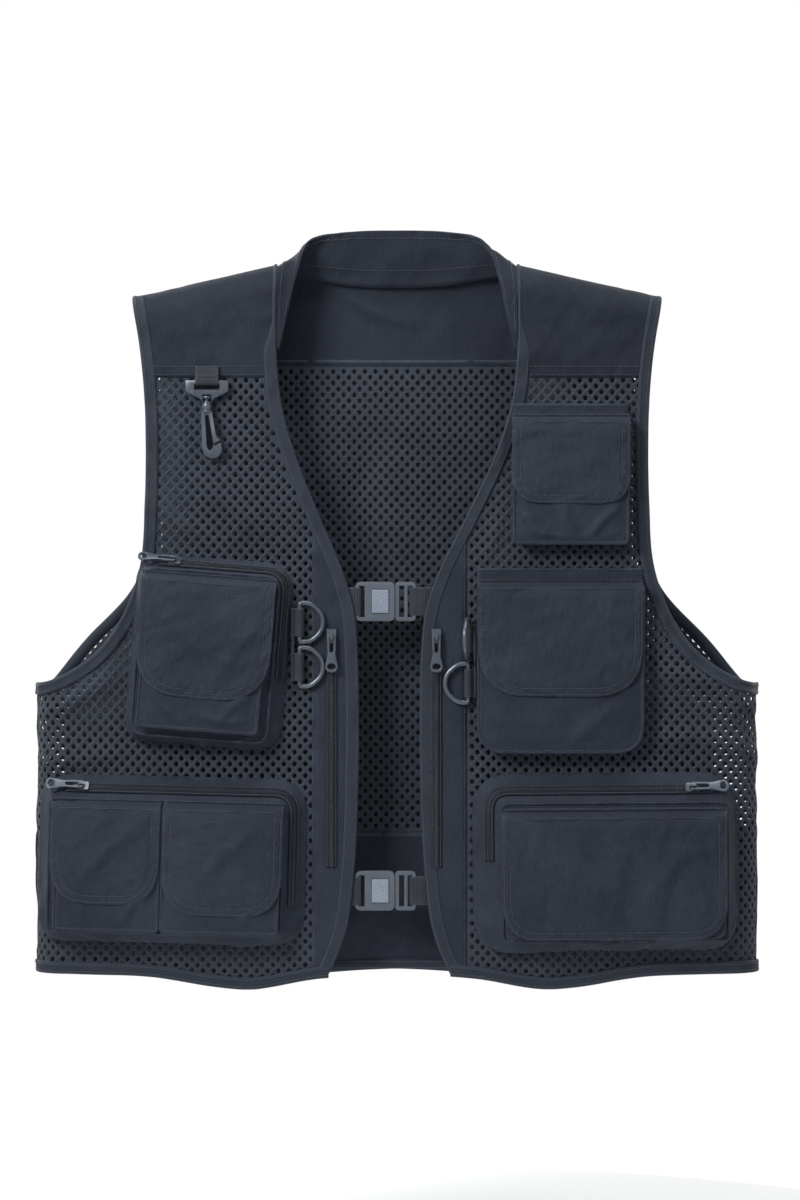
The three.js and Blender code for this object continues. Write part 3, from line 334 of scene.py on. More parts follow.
def ribbed(name, base, light, rib, cross, depth):
    """Ribbed tape or webbing: cords at the rib pitch crossed by a finer thread."""
    cloth = Finish(name, **{"Sheen Weight": 0.06, "Sheen Roughness": 0.45, "Specular IOR Level": 0.24})
    across, along = cloth.cloth_axes()
    cords = (along * (math.pi / rib)).sine().absolute()
    threads = (across * (math.pi / cross)).sine().absolute()
    weave = cords * (0.6 + threads * 0.4)
    cloud = cloth.noise(cloth.place(), 60, 4.0)
    tone = cloth.step(weave * 0.7 + cloud * 0.4, 0.2, 0.95)
    body = cloth.mix(tone, base, light)
    worn = tuple(c * 1.5 + 0.01 for c in light)
    cloth.to("Base Color", cloth.mix(wear(cloth) * 0.5, body, worn))
    cloth.to("Roughness", 0.74 - weave * 0.16)
    cloth.bump((weave, depth), (cloud, 0.25))
    return cloth.material


def moulded(name, base, light, roughness, grain=0.03, metallic=0.0, coat=0.0):
    """Moulded or plated part: faint flow marks, fine grain and scuffs."""
    part = Finish(name, metallic=metallic, **{"Coat Weight": coat, "Coat Roughness": 0.22,
                                              "Specular IOR Level": 0.5})
    place = part.place()
    cloud, fine = part.noise(place, 45, 4.0), part.noise(place, 1500, 2.0)
    long = part.node("Mapping", None, {"Vector": place, "Rotation": (0.3, 0.2, 0.5),
                                       "Scale": (1, 1, 9)})
    scuff = part.step(part.noise(long, 420, 3.0, 0.7), 0.6, 0.74)
    part.to("Base Color", part.mix(part.step(cloud * 0.8 + scuff * 0.25, 0.25, 0.95), base, light))
    part.to("Roughness", roughness + cloud * 0.12 + scuff * 0.14)
    part.bump((fine, grain), (scuff, 0.02), (cloud, 0.08))
    return part.material


def thread_finish():
    """Twisted sewing thread with a slight gloss."""
    thread = Finish("thread", **{"Sheen Weight": 0.3, "Specular IOR Level": 0.45})
    twist = thread.noise(thread.place(), 2400, 2.0)
    thread.to("Base Color", thread.mix(twist, (0.016, 0.02, 0.03), (0.05, 0.06, 0.082)))
    thread.to("Roughness", 0.4 + twist * 0.25)
    thread.bump((twist, 0.05))
    return thread.material


NYLON = nylon("nylon", (0.0125, 0.0162, 0.026), (0.0285, 0.0365, 0.056))
# Yoke cloth: the body nylon made darker, as painted shade for the top of the vest.
YOKE = nylon("yoke_nylon_painted_shade", (0.0088, 0.0118, 0.0198), (0.0200, 0.0262, 0.0415))
# Collar cloth: the body nylon made darker, as painted shade round the neck.
LINING = nylon("collar_nylon_painted_shade", (0.0098, 0.0130, 0.0214), (0.0218, 0.0284, 0.0445), 0.5)
# Near-black nylon: painted shade for the inside of the back pouch, seen through the netting's holes.
SHADE = nylon("pouch_painted_shade", (0.0030, 0.0036, 0.005), (0.0065, 0.0078, 0.0105), 0.6)
NETTING = netting()
TAPE = ribbed("binding_tape", (0.0105, 0.0135, 0.0215), (0.0275, 0.035, 0.052), 0.9, 0.5, 0.16)
WEBBING = ribbed("webbing", (0.010, 0.012, 0.017), (0.048, 0.056, 0.071), 1.35, 0.8, 0.42)
ZIP_TAPE = ribbed("zip_tape", (0.0050, 0.0068, 0.0115), (0.0145, 0.0192, 0.031), 0.7, 0.45, 0.12)
COIL = moulded("zip_coil", (0.018, 0.0225, 0.033), (0.066, 0.078, 0.102), 0.28, 0.01)
GUNMETAL = moulded("gunmetal", (0.085, 0.10, 0.125), (0.19, 0.215, 0.25), 0.24, 0.02, 0.5, 0.3)
ACETAL = moulded("buckle_acetal", (0.082, 0.094, 0.118), (0.125, 0.14, 0.168), 0.34, 0.03)
BUTTON = moulded("button_acetal", (0.20, 0.235, 0.29), (0.28, 0.32, 0.38), 0.4, 0.03)
THREAD = thread_finish()

# ---------------------------------------------------------------- curves and grids


def catmull(points, steps):
    """Centripetal Catmull-Rom curve: each span is a cubic whose end slopes come from the square
    roots of the distances to the neighbouring points; the steps are even in its parameter."""
    p = np.asarray(points, float)
    ends = np.vstack([2 * p[0] - p[1], p, 2 * p[-1] - p[-2]])
    t = np.linspace(0, len(p) - 1, steps + 1)
    i = np.minimum(t.astype(int), len(p) - 2)
    w = (t - i)[:, None]
    a, b, c, d = ends[i], ends[i + 1], ends[i + 2], ends[i + 3]
    da, db, dc = (np.maximum(np.sqrt(np.linalg.norm(q - r, axis=1)), 1e-4)[:, None]
                  for q, r in ((a, b), (b, c), (c, d)))
    out = ((b - a) / da - (c - a) / (da + db) + (c - b) / db) * db
    into = ((c - b) / db - (d - b) / (db + dc) + (d - c) / dc) * db
    return b + out * w + (3 * (c - b) - 2 * out - into) * w ** 2 + (2 * (b - c) + out + into) * w ** 3


def lengths(points):
    """Distance along a polyline to each of its points."""
    return np.concatenate([[0], np.cumsum(np.linalg.norm(np.diff(points, axis=0), axis=1))])


def spaced(points, count):
    """The polyline again, with that many points at even distances along it."""
    s = lengths(points)
    at = np.linspace(0, s[-1], count)
    return np.stack([np.interp(at, s, points[:, k]) for k in range(points.shape[1])], 1)


def directions(points, closed=False):
    """Unit tangent at each point, from its two neighbours."""
    if closed:
        ahead, behind = np.roll(points, -1, 0), np.roll(points, 1, 0)
    else:
        ahead, behind = np.vstack([points[1:], points[-1:]]), np.vstack([points[:1], points[:-1]])
    way = ahead - behind
    return way / np.maximum(np.linalg.norm(way, axis=1), 1e-9)[:, None]


def smoothstep(x, low, high):
    """Smooth rise from 0 to 1 between two values."""
    t = np.clip((np.asarray(x, float) - low) / (high - low), 0, 1)
    return t * t * (3 - 2 * t)


def ripple(u, v, length, seed, waves=7):
    """Smooth irregular waves of about unit height: sines whose directions, lengths and phases
    are drawn from the seed, each bent a little by the one before."""
    draw = np.random.default_rng(seed)
    total, bent = 0, 0
    for _ in range(waves):
        turn, stretch, phase = draw.uniform(0, np.pi), draw.uniform(0.6, 1.7), draw.uniform(0, 6.28)
        k = 2 * np.pi / (length * stretch)
        wave = np.sin(k * (u * math.cos(turn) + v * math.sin(turn)) + phase + 0.9 * bent)
        total, bent = total + wave, wave
    return total / math.sqrt(waves) / 1.1


FOLD_RISE = 1.45


def folds(u, v, creases):
    """Sum of drape folds. Each crease (u0, v0, u1, v1, half width, height) is a ridge along a
    segment, with a bell-shaped section that fades out towards both ends; the cloth rises
    FOLD_RISE times the height that is written down."""
    total = np.zeros(np.broadcast(u, v).shape)
    for u0, v0, u1, v1, width, height in creases:
        du, dv = u1 - u0, v1 - v0
        t = ((u - u0) * du + (v - v0) * dv) / (du * du + dv * dv)
        bow = 0.06 * math.hypot(du, dv) * np.sin(np.pi * np.clip(t, 0, 1))
        off = ((u - u0) * dv - (v - v0) * du) / math.hypot(du, dv) - bow
        fade = smoothstep(t, -0.15, 0.3) * (1 - smoothstep(t, 0.7, 1.15))
        total = total + FOLD_RISE * height * fade * np.exp(-(off / width) ** 2)
    return total


def distance_to(line, u, v):
    """Distance from each point (u, v) to a polyline."""
    a, b = line[:-1], line[1:]
    way = b - a
    size = np.maximum((way ** 2).sum(1), 1e-9)
    at = np.stack([np.ravel(u), np.ravel(v)], 1)
    best = np.full(len(at), 1e9)
    for k in range(len(a)):
        t = np.clip(((at - a[k]) @ way[k]) / size[k], 0, 1)
        best = np.minimum(best, np.linalg.norm(at - a[k] - t[:, None] * way[k], axis=1))
    return best.reshape(np.shape(u))


def rounded_corner(before, corner, after, radius, steps=10):
    """Corner as a quadratic curve that starts and ends a radius away along its two sides."""
    before, corner, after = (np.asarray(p, float) for p in (before, corner, after))
    t = np.linspace(0, 1, steps)[:, None]
    start = corner + (before - corner) * radius / np.linalg.norm(before - corner)
    end = corner + (after - corner) * radius / np.linalg.norm(after - corner)
    return (1 - t) ** 2 * start + 2 * t * (1 - t) * corner + t ** 2 * end


def ring_outline(left, right, top, bottom, radius, per_side=26, steps=10):
    """Closed rounded rectangle, clockwise from the middle of its bottom side; rings with the same
    counts match point for point."""
    corners = [(left, bottom), (left, top), (right, top), (right, bottom)]
    arcs = [rounded_corner(corners[k - 1], corners[k], corners[(k + 1) % 4], radius, steps)
            for k in range(4)]
    parts, at = [], np.array([(left + right) / 2, bottom], float)
    for arc in arcs:
        t = np.linspace(0, 1, per_side, endpoint=False)[:, None]
        parts += [at + (arc[0] - at) * t, arc[:-1]]
        at = arc[-1]
    t = np.linspace(0, 1, per_side, endpoint=False)[:, None]
    parts.append(at + (np.array([(left + right) / 2, bottom]) - at) * t)
    return np.vstack(parts)


def pocket_outline(left, right, top, bottom, radius, count):
    """Open outline: down the left side, round the bottom and up the right side."""
    low_left = rounded_corner((left, top), (left, bottom), (right, bottom), radius)
    low_right = rounded_corner((left, bottom), (right, bottom), (right, top), radius)
    return spaced(np.vstack([[(left, top)], low_left, low_right, [(right, top)]]), count)


def side_of(outline, z, side):
    """Where the outline's left (-1) or right (1) side stands at the height z."""
    middle = (outline[:, 0].min() + outline[:, 0].max()) / 2
    half = outline[(outline[:, 0] - middle) * side >= -1e-6]
    order = np.argsort(half[:, 1], kind="stable")
    return np.interp(z, half[order, 1], half[order, 0])


# ---------------------------------------------------------------- meshes


def grid_faces(rows, columns, wrap=False):
    """Quads of a grid of points, row by row; wrap joins the last column to the first."""
    r, c = np.arange(rows - 1)[:, None], np.arange(columns if wrap else columns - 1)[None, :]
    beside = (c + 1) % columns
    quads = [r * columns + c, r * columns + beside, (r + 1) * columns + beside, (r + 1) * columns + c]
    return np.stack([np.broadcast_to(q, (rows - 1, c.shape[1])) for q in quads], -1).reshape(-1, 4)


def build(name, points, faces, material, body, slot, uv=None, worn=None, replaces=(), sharp=None):
    """Makes one piece from points in millimetres. uv is in metres of cloth, worn is edge wear
    from 0 to 1, and sharp is the angle in degrees past which an edge stays hard."""
    points = np.asarray(points, float).reshape(-1, 3)
    mesh = bpy.data.meshes.new(name)
    lists = faces.tolist() if isinstance(faces, np.ndarray) else faces
    mesh.from_pydata((points * MM).tolist(), [], lists)
    mesh.materials.append(material)
    if uv is not None:
        corners = np.zeros(len(mesh.loops), np.int32)
        mesh.loops.foreach_get("vertex_index", corners)
        layer = mesh.uv_layers.new(name="cloth")
        layer.data.foreach_set("uv", np.asarray(uv, np.float32).reshape(-1, 2)[corners].ravel())
    if worn is not None:
        layer = mesh.attributes.new("wear", "FLOAT", "POINT")
        layer.data.foreach_set("value", np.asarray(worn, np.float32).ravel())
    mesh.shade_smooth()
    if sharp is not None:
        mesh.set_sharp_from_angle(angle=math.radians(sharp))
    made = bpy.data.objects.new(name, mesh)
    bpy.context.scene.collection.objects.link(made)
    if replaces:
        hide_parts(*replaces)
    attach(made, body)
    return made


def thicken(made, thickness, offset=-1.0):
    """Gives a sheet its wall; the offset -1 keeps the outer face where it is."""
    wall = made.modifiers.new("wall", "SOLIDIFY")
    wall.thickness, wall.offset, wall.use_even_offset = thickness * MM, offset, False
    return made


def facing(points, faces, toward):
    """The faces, turned over if on the whole they look away from the direction given."""
    p = points.reshape(-1, 3)
    normal = np.cross(p[faces[:, 2]] - p[faces[:, 0]], p[faces[:, 3 % faces.shape[1]]] - p[faces[:, 1]])
    toward = np.asarray(toward, float)
    side = (normal @ toward).sum() if toward.ndim == 1 else (normal * toward).sum()
    return faces if side > 0 else faces[:, ::-1]


def outward(points, faces):
    """The faces of a closed surface, turned so that its volume is positive."""
    p = points.reshape(-1, 3) - points.reshape(-1, 3).mean(0)
    volume = sum((p[faces[:, 0]] * np.cross(p[faces[:, k]], p[faces[:, k + 1]])).sum()
                 for k in range(1, faces.shape[1] - 1))
    return faces if volume > 0 else faces[:, ::-1]


class Place:
    """A pocket's own frame: an origin on the body and a turn about +Y, as its hinges say."""

    def __init__(self, origin, turn=0.0, body="vest"):
        self.origin, self.turn, self.body = np.asarray(origin, float), turn, body

    def points(self, x, z, forward):
        """Local across, up and forward arrays as world points."""
        c, s = math.cos(self.turn), math.sin(self.turn)
        x, z, forward = np.broadcast_arrays(x, z, forward)
        return np.stack([self.origin[0] + x * c + z * s, self.origin[1] - forward,
                         self.origin[2] - x * s + z * c], -1)


# ---------------------------------------------------------------- stitches

STITCH = 3.0                     # length of a stitch with its gap
SEAMS = {}                       # body -> stitches' points


def sew(body, path, normal, lift=0.35, pitch=STITCH, width=0.42):
    """Lays a row of stitches along a path. Each is a spindle of four sides: its section grows
    from nothing to its full width and shrinks again over three rings."""
    path = np.asarray(path, float)
    s = lengths(path)
    count = max(int(s[-1] / pitch), 1)
    at = (np.arange(count) + 0.5) * s[-1] / count
    centre = np.stack([np.interp(at, s, path[:, k]) for k in range(3)], 1)
    normal = np.broadcast_to(np.asarray(normal, float), path.shape)
    up = np.stack([np.interp(at, s, normal[:, k]) for k in range(3)], 1)
    up /= np.linalg.norm(up, axis=1)[:, None]
    tangent = directions(path)
    way = np.stack([np.interp(at, s, tangent[:, k]) for k in range(3)], 1)
    way /= np.maximum(np.linalg.norm(way, axis=1), 1e-9)[:, None]
    across = np.cross(up, way)
    half = s[-1] / count * 0.43
    rings = [(-0.78, 0.75), (0.0, 1.0), (0.78, 0.75)]
    points = [centre - way * half + up * lift * 0.2]
    for share, size in rings:
        for turn in range(4):
            a = math.pi / 2 * turn + math.pi / 4
            points.append(centre + way * half * share
                          + (across * math.cos(a) + up * math.sin(a) * 0.8) * width * size + up * lift)
    points.append(centre + way * half + up * lift * 0.2)
    SEAMS.setdefault(body, []).append(np.stack(points, 1))


def thread_work():
    """One piece of thread for each body that carries stitches."""
    side = [(k, (k + 1) % 4) for k in range(4)]
    faces = [(0, 1 + b, 1 + a) for a, b in side] + [(13, 9 + a, 9 + b) for a, b in side]
    for ring in (1, 5):
        for a, b in side:
            faces += [(ring + a, ring + b, ring + 4 + b), (ring + a, ring + 4 + b, ring + 4 + a)]
    one = np.array(faces)
    for body, groups in SEAMS.items():
        points = np.concatenate(groups)
        if (outward(points[0], one) != one).any():
            one = one[:, ::-1]
        all_faces = (one[None] + 14 * np.arange(len(points))[:, None, None]).reshape(-1, 3)
        build(f"stitches_{body}", points, all_faces, THREAD, body, "nylon")

# ---------------------------------------------------------------- body form

FLAT = HALF_WIDTH - HALF_DEPTH   # the body is flat up to here and then folds round a quarter circle
NET_LEVEL = -1.0                 # netting, solid cloth and edge tape lie at these levels over the form
CLOTH_LEVEL = 0.0
EDGING_LEVEL = 0.9
FRONT, BACK = -1, 1


def shoulder_line(x):
    """Height of the shoulder over a place across."""
    return -SHOULDER_SLOPE * np.maximum(0, np.abs(x) - NECK_HALF)


def across_cloth(x):
    """Distance over the cloth from the middle to x; past FLAT it follows the quarter circle."""
    size = np.abs(x)
    over = np.clip((size - FLAT) / HALF_DEPTH, 0, 1)
    return np.sign(x) * (np.minimum(size, FLAT) + HALF_DEPTH * np.arcsin(over))


def from_cloth(u):
    """Place across from the distance over the cloth."""
    turn = np.clip((np.abs(u) - FLAT) / HALF_DEPTH, 0, np.pi / 2)
    return np.sign(u) * (np.minimum(np.abs(u), FLAT) + HALF_DEPTH * np.sin(turn))


def on_body(u, z, side, lift=0.0):
    """Point and normal on the body form. u is the distance over the cloth from the middle; the
    side folds and the shoulder fold are quarter circles whose shares of the depth multiply."""
    u, z, lift = np.broadcast_arrays(np.asarray(u, float), np.asarray(z, float), lift)
    turn = np.clip((np.abs(u) - FLAT) / HALF_DEPTH, 0, np.pi / 2)
    x = from_cloth(u)
    upward = 1 - np.clip(shoulder_line(x) - z, 0, HALF_DEPTH) / HALF_DEPTH
    out = np.sqrt(1 - upward ** 2)
    normal = np.stack([np.sign(u) * np.sin(turn), side * np.cos(turn) * out, upward], -1)
    normal /= np.maximum(np.linalg.norm(normal, axis=-1), 1e-6)[..., None]
    point = np.stack([x, side * HALF_DEPTH * np.cos(turn) * out, z], -1)
    return point + normal * lift[..., None], normal


def over_fold(drop):
    """Distance over the cloth from the shoulder fold to a drop below it."""
    drop = np.maximum(drop, 0)
    arc = HALF_DEPTH * np.arccos(1 - np.minimum(drop, HALF_DEPTH) / HALF_DEPTH)
    return arc + np.maximum(drop - HALF_DEPTH, 0)


def drop_of(distance):
    """Drop below the shoulder fold at a distance over the cloth: the inverse of over_fold."""
    quarter = HALF_DEPTH * np.pi / 2
    return np.where(distance < quarter, HALF_DEPTH * (1 - np.cos(np.minimum(distance, quarter)
                    / HALF_DEPTH)), HALF_DEPTH + distance - quarter)


def armhole_line(rise):
    """Armhole edge of the right side, from over the shoulder to past the side fold."""
    tip = float(shoulder_line(SHOULDER_HALF))
    spread = HALF_WIDTH - CHEST_HALF
    upper = [(0.5, 0.18), (0.15, 0.29), (0, 0.42)]
    scoop = [(0.01, 0.58), (0.05, 0.72), (0.2, 0.835), (0.42, 0.92), (0.7, 0.975), (0.95, 1),
             (1.25, 1)]
    points = [(SHOULDER_HALF + 6, 10), (SHOULDER_HALF, tip)]
    points += [(CHEST_HALF + (SHOULDER_HALF - CHEST_HALF) * a, -ARMHOLE_DEPTH * b) for a, b in upper]
    points += [(CHEST_HALF + spread * a, -ARMHOLE_DEPTH * b) for a, b in scoop]
    line = catmull(points, 220)
    share = np.clip((line[:, 0] - CHEST_HALF) / spread / SCOOP_SHARE, 0, 1)
    low = line[:, 1] < -ARMHOLE_DEPTH / 2
    line[:, 1] += np.where(low & (share < 1), rise * np.sin(np.pi * share), 0)
    return line


def opening_line(side):
    """Front edge of one side: down from the collar, along the V, straight down, flared at the hem."""
    spread, run = NECK_HALF - OPENING_HALF, V_DEPTH - COLLAR_TIP_DROP
    points = [(side * NECK_HALF, HIGH), (side * NECK_HALF, 0)]
    for share, drop in [(1, 0), (0.93, 0.2), (0.73, 0.4), (0.45, 0.6), (0.19, 0.78), (0.05, 0.92),
                        (0, 1.1)]:
        points.append((side * (OPENING_HALF + spread * share) + OPENING_MIDDLE * (1 - share),
                       -COLLAR_TIP_DROP - run * drop))
    for flare, rise in [(0, 165), (4, 95), (10, 52), (22, 20), (45, -20)]:
        points.append((OPENING_MIDDLE + side * (OPENING_HALF + flare), -BODY_LENGTH + rise))
    return catmull(points, 240)


def hem_line():
    """Points of the hem."""
    half = [(0.02, 13), (0.22, 9), (0.4, 0), (0.5, 2), (0.68, 11), (0.85, 13), (1.15, 15)]
    left = [(-share * HALF_WIDTH, -BODY_LENGTH + rise) for share, rise in half[::-1]]
    right = [(share * HALF_WIDTH, -BODY_LENGTH + rise) for share, rise in half]
    return catmull(left + right, 260)


ARMHOLE = {FRONT: armhole_line(0), BACK: armhole_line(BACK_ARMHOLE_RISE)}
OPENING = {side: opening_line(side) for side in (-1, 1)}
HEM = hem_line()


def armhole_x(z, face):
    """Half width of the body at a height, inside the armhole."""
    line = ARMHOLE[face][::-1]
    return np.minimum(np.interp(z, np.maximum.accumulate(line[:, 1]), line[:, 0]), HALF_WIDTH)


def opening_x(z, side):
    """Front edge of one side at a height."""
    line = OPENING[side][::-1]
    return np.interp(z, line[:, 1], line[:, 0])


def hem_z(x):
    """Height of the hem at a place across."""
    return np.interp(x, HEM[:, 0], HEM[:, 1])


def placket_x(z, side):
    """Outer edge of the front facing: the placket's straight edge, or the tape beside the V."""
    tape = side * opening_x(z, side) + 12
    return side * np.maximum(tape, side * OPENING_MIDDLE + OPENING_HALF + PLACKET_WIDTH)


def neck_seam_z(x):
    """Back neck seam: a shallow bow between the shoulder points."""
    inside = np.abs(x) < NECK_HALF
    bow = -BACK_NECK_DROP + (BACK_NECK_DROP - 3) * (x / NECK_HALF) ** 2
    return np.where(inside, bow, shoulder_line(x))


# Drape folds over the body: ends across and up, half width and height
FRONT_FOLDS = [
    (-208, -112, -120, -232, 9, 3.2), (-176, -104, -98, -176, 7, 2.4), (-214, -160, -168, -250, 7, 2.6),
    (-226, -270, -238, -345, 7, 2.4), (-318, -392, -240, -352, 8, 3.4), (-318, -430, -238, -424, 9, 3.0),
    (-236, -250, -150, -262, 5, 1.8), (-96, -236, -78, -300, 6, 1.8), (-92, -366, -80, -440, 6, 1.8),
    (104, -112, 92, -182, 7, 2.2), (206, -120, 204, -244, 6, 1.6), (96, -214, 78, -268, 6, 2.0),
    (318, -386, 226, -352, 8, 3.2), (322, -426, 222, -408, 9, 3.2), (230, -300, 222, -352, 7, 2.0),
    (300, -470, 300, -590, 7, 2.0), (70, -430, 160, -436, 5, 1.4), (-318, -600, -200, -606, 6, 1.6),
]
BACK_FOLDS = [
    (-52, -18, 12, -50, 5, -2.2), (-30, -96, 10, -150, 8, -2.4),
    (-170, -120, -70, -400, 15, 4.0), (130, -140, 62, -380, 14, 3.6), (-20, -120, -10, -330, 18, 3.0),
    (-318, -400, -150, -320, 12, 4.2), (318, -410, 160, -330, 12, 4.2), (-318, -470, -120, -430, 12, 3.4),
    (318, -480, 110, -420, 12, 3.4), (-214, -170, -150, -260, 9, 2.8), (214, -180, 156, -270, 9, 2.8),
    (-300, -560, -120, -540, 12, 2.4), (300, -556, 90, -548, 12, 2.4), (-60, -520, 60, -536, 14, 2.0),
]
FLAT_UNDER = ["chest_pocket_body", "lower_left_pocket_body", "lower_right_pocket_body",
              "upper_right_pocket", "middle_right_pocket", "ring_webbing_left",
              "ring_webbing_right", "placket_zip_left", "placket_zip_right", "hook_base", "swivel_hook",
              "buckle_upper_male", "buckle_lower_male", "strap_upper_right", "strap_lower_right"]


def flat_places():
    """Boxes across and up, in millimetres, of what is sewn flat on the front."""
    boxes = []
    for node in FLAT_UNDER:
        low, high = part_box(node)
        boxes.append((low[0] / MM, high[0] / MM, low[2] / MM, high[2] / MM))
    return boxes


FLAT_PLACES = flat_places()


def drape(u, z, side):
    """Height of the cloth's waves over the form: drape folds and low ripples, pressed flat under
    everything that is sewn on the front and along the shoulder."""
    u, z = np.broadcast_arrays(np.asarray(u, float), np.asarray(z, float))
    if side == BACK:
        waves = folds(u, z, BACK_FOLDS) + 1.0 * ripple(u, z, 120, 8) + 0.4 * ripple(u, z, 38, 9)
        return waves * smoothstep(-z, 4, 40)
    waves = folds(u, z, FRONT_FOLDS) + 0.9 * ripple(u, z, 85, 5) + 0.45 * ripple(u, z, 30, 6)
    for x0, x1, z0, z1 in FLAT_PLACES:
        off = np.hypot(np.maximum(np.maximum(x0 - u, u - x1), 0), np.maximum(np.maximum(z0 - z, z - z1), 0))
        waves = waves * smoothstep(off, -1, 20)
    return waves * smoothstep(-z, 4, 40)


def body_cloth(name, material, slot, inner, outer, top, bottom, side, spacing, level, nodes=(),
               wall=1.6, edges=(1, 1, 1, 1)):
    """Cloth panel on the body. Rows run from top(x) to bottom(x) at even distances over the
    shoulder fold; columns run from inner(z) to outer(z). edges says which of the top, bottom,
    inner and outer edges are free and so rounded and worn."""
    height = abs(float(top(np.float64(150))) - float(bottom(np.float64(150)))) + 14
    width = abs(float(outer(np.float64(-180))) - float(inner(np.float64(-180)))) + 8
    rows, columns = max(int(height / spacing), 8), max(int(width / spacing), 8)
    v, w = np.meshgrid(np.linspace(0, 1, rows), np.linspace(0, 1, columns), indexing="ij")
    x = np.full(v.shape, (float(inner(np.float64(-180))) + float(outer(np.float64(-180)))) / 2)
    for _ in range(4):
        start, stop = over_fold(shoulder_line(x) - top(x)), over_fold(shoulder_line(x) - bottom(x))
        z = shoulder_line(x) - drop_of(start + (stop - start) * v)
        x = inner(z) + (outer(z) - inner(z)) * w
    u = across_cloth(x)
    start = over_fold(shoulder_line(x) - top(x))
    down = start + (over_fold(shoulder_line(x) - bottom(x)) - start) * v
    gaps = [down - down[:1], down[-1:] - down, np.abs(u - u[:, :1]), np.abs(u[:, -1:] - u)]
    near = np.minimum.reduce([g if on else g + 99 for g, on in zip(gaps, edges)])
    lift = level + drape(u, z, side) - 0.7 * np.exp(-near / 0.9)
    points, _ = on_body(u, z, side, lift)
    faces = facing(points, grid_faces(rows, columns), (0, side, 0))
    uv = np.stack([u, down], -1) * MM
    worn = np.exp(-near / 2.2)
    made = build(name, points, faces, material, "vest", slot, uv, worn, nodes)
    if slot != "tape":
        cut = np.stack([u, down], -1)
        cross = cut[1:, 1:] - cut[:-1, :-1], cut[1:, :-1] - cut[:-1, 1:]
        area = 0.5 * np.abs(cross[0][..., 0] * cross[1][..., 1] - cross[0][..., 1] * cross[1][..., 0]).sum()
        declare(np.ptp(u), np.ptp(down), area)
    return thicken(made, wall)


def declare(width, length, area):
    """Works out a sewn panel's size: the width and area of its cut, or a long narrow cut's mean width; the
    results are not kept.
    """
    if area < 0.4 * width * length:
        width = area / length
    width * MM
    min(area, width * length) * MM * MM


def seam(x, z, side, level=CLOTH_LEVEL, body="vest", pitch=STITCH):
    """Row of stitches on the body through places across and up."""
    u = across_cloth(np.asarray(x, float))
    points, normal = on_body(u, z, side, level + drape(u, z, side))
    sew(body, points, normal, pitch=pitch)


NET_PITCH, NET_RISE = 9.3, 10.2   # a diamond's width and height
HOLE_HALF = (1.85, 2.2)
HOLE_AREA = 11.5


def netting_panel(name, node, side, inner, outer, top, bottom):
    """Open netting. The yarn is a lattice of diamonds, each with an oval hole whose ring of eight
    points joins the diamond's four corners; whole diamonds fill the margins under the seams."""
    pitch, rise = NET_PITCH / 2, NET_RISE / 2
    u0, u1 = across_cloth(inner), across_cloth(outer)
    k, row = np.meshgrid(np.arange(int(u0 / pitch) - 2, int(u1 / pitch) + 3),
                         np.arange(int(-top / rise) - 2, int(-bottom.min() / rise) + 3))
    keep = (k + row) % 2 == 0
    k, row = k[keep], row[keep]
    u, z = k * pitch, -row * rise

    def room(u, z):
        """Distance from a place to the nearest edge of the panel, negative outside."""
        low, high = netting_limits(side, name, z)
        sides = np.minimum(u - across_cloth(low), across_cloth(high) - u)
        return np.minimum(np.minimum(sides, top - z), z - hem_floor(from_cloth(u), bottom))

    gap = room(u, z)
    inside = gap > -3.4
    k, row, u, z, gap = k[inside], row[inside], u[inside], z[inside], gap[inside]
    holed = gap > 4.2
    corner_keys = np.stack([np.stack([k + a, row + b], 1) for a, b in ((1, 0), (0, -1), (-1, 0), (0, 1))])
    keys, index = np.unique(corner_keys.reshape(-1, 2), axis=0, return_inverse=True)
    index = index.reshape(4, -1)
    corners = keys * np.array([pitch, -rise])
    low, high = netting_limits(side, name, corners[:, 1])
    corners[:, 0] = np.clip(corners[:, 0], across_cloth(low) - 1.5, across_cloth(high) + 1.5)
    corners[:, 1] = np.minimum(corners[:, 1], top + 1.5)
    corners[:, 1] = np.maximum(corners[:, 1], hem_floor(corners[:, 0], bottom) - 1.5)
    turn = np.arange(8) * np.pi / 4
    hole_u = u[holed][:, None] + HOLE_HALF[0] * np.cos(turn)
    hole_z = z[holed][:, None] + HOLE_HALF[1] * np.sin(turn)
    plane = np.vstack([corners, np.stack([hole_u.ravel(), hole_z.ravel()], 1)])
    ring = len(corners) + 8 * np.arange(holed.sum())[:, None] + np.arange(8)
    tips = index[:, holed]
    faces = []
    for side_step in range(4):
        here, ahead = tips[side_step], tips[(side_step + 1) % 4]
        first = 2 * side_step
        faces.append(np.stack([here, ring[:, first], ring[:, (first + 7) % 8]], 1))
        faces.append(np.stack([here, ring[:, (first + 1) % 8], ring[:, first]], 1))
        faces.append(np.stack([here, ahead, ring[:, first + 1]], 1))
    whole = index[:, ~holed]
    faces += [whole[[0, 1, 2]].T, whole[[0, 2, 3]].T]
    faces = np.vstack(faces)
    bulge = np.concatenate([np.full(len(corners), 0.25), np.full(len(plane) - len(corners), -0.15)])
    points, _ = on_body(plane[:, 0], plane[:, 1], side,
                             NET_LEVEL + bulge + drape(plane[:, 0], plane[:, 1], side))
    flat = plane[faces]
    turned = np.cross(flat[:, 1] - flat[:, 0], flat[:, 2] - flat[:, 0]) * side > 0
    faces[turned] = faces[turned][:, ::-1]
    faces = facing(points, faces, (0, side, 0))
    made = build(name, points, faces, NETTING, "vest", "mesh", plane * MM, None, (node,))
    sides = flat[:, 1] - flat[:, 0], flat[:, 2] - flat[:, 0]
    yarn = 0.5 * np.abs(sides[0][:, 0] * sides[1][:, 1] - sides[0][:, 1] * sides[1][:, 0]).sum()
    declare(np.ptp(plane[:, 0]), np.ptp(plane[:, 1]), yarn + HOLE_AREA * holed.sum())
    return thicken(made, 0.9)


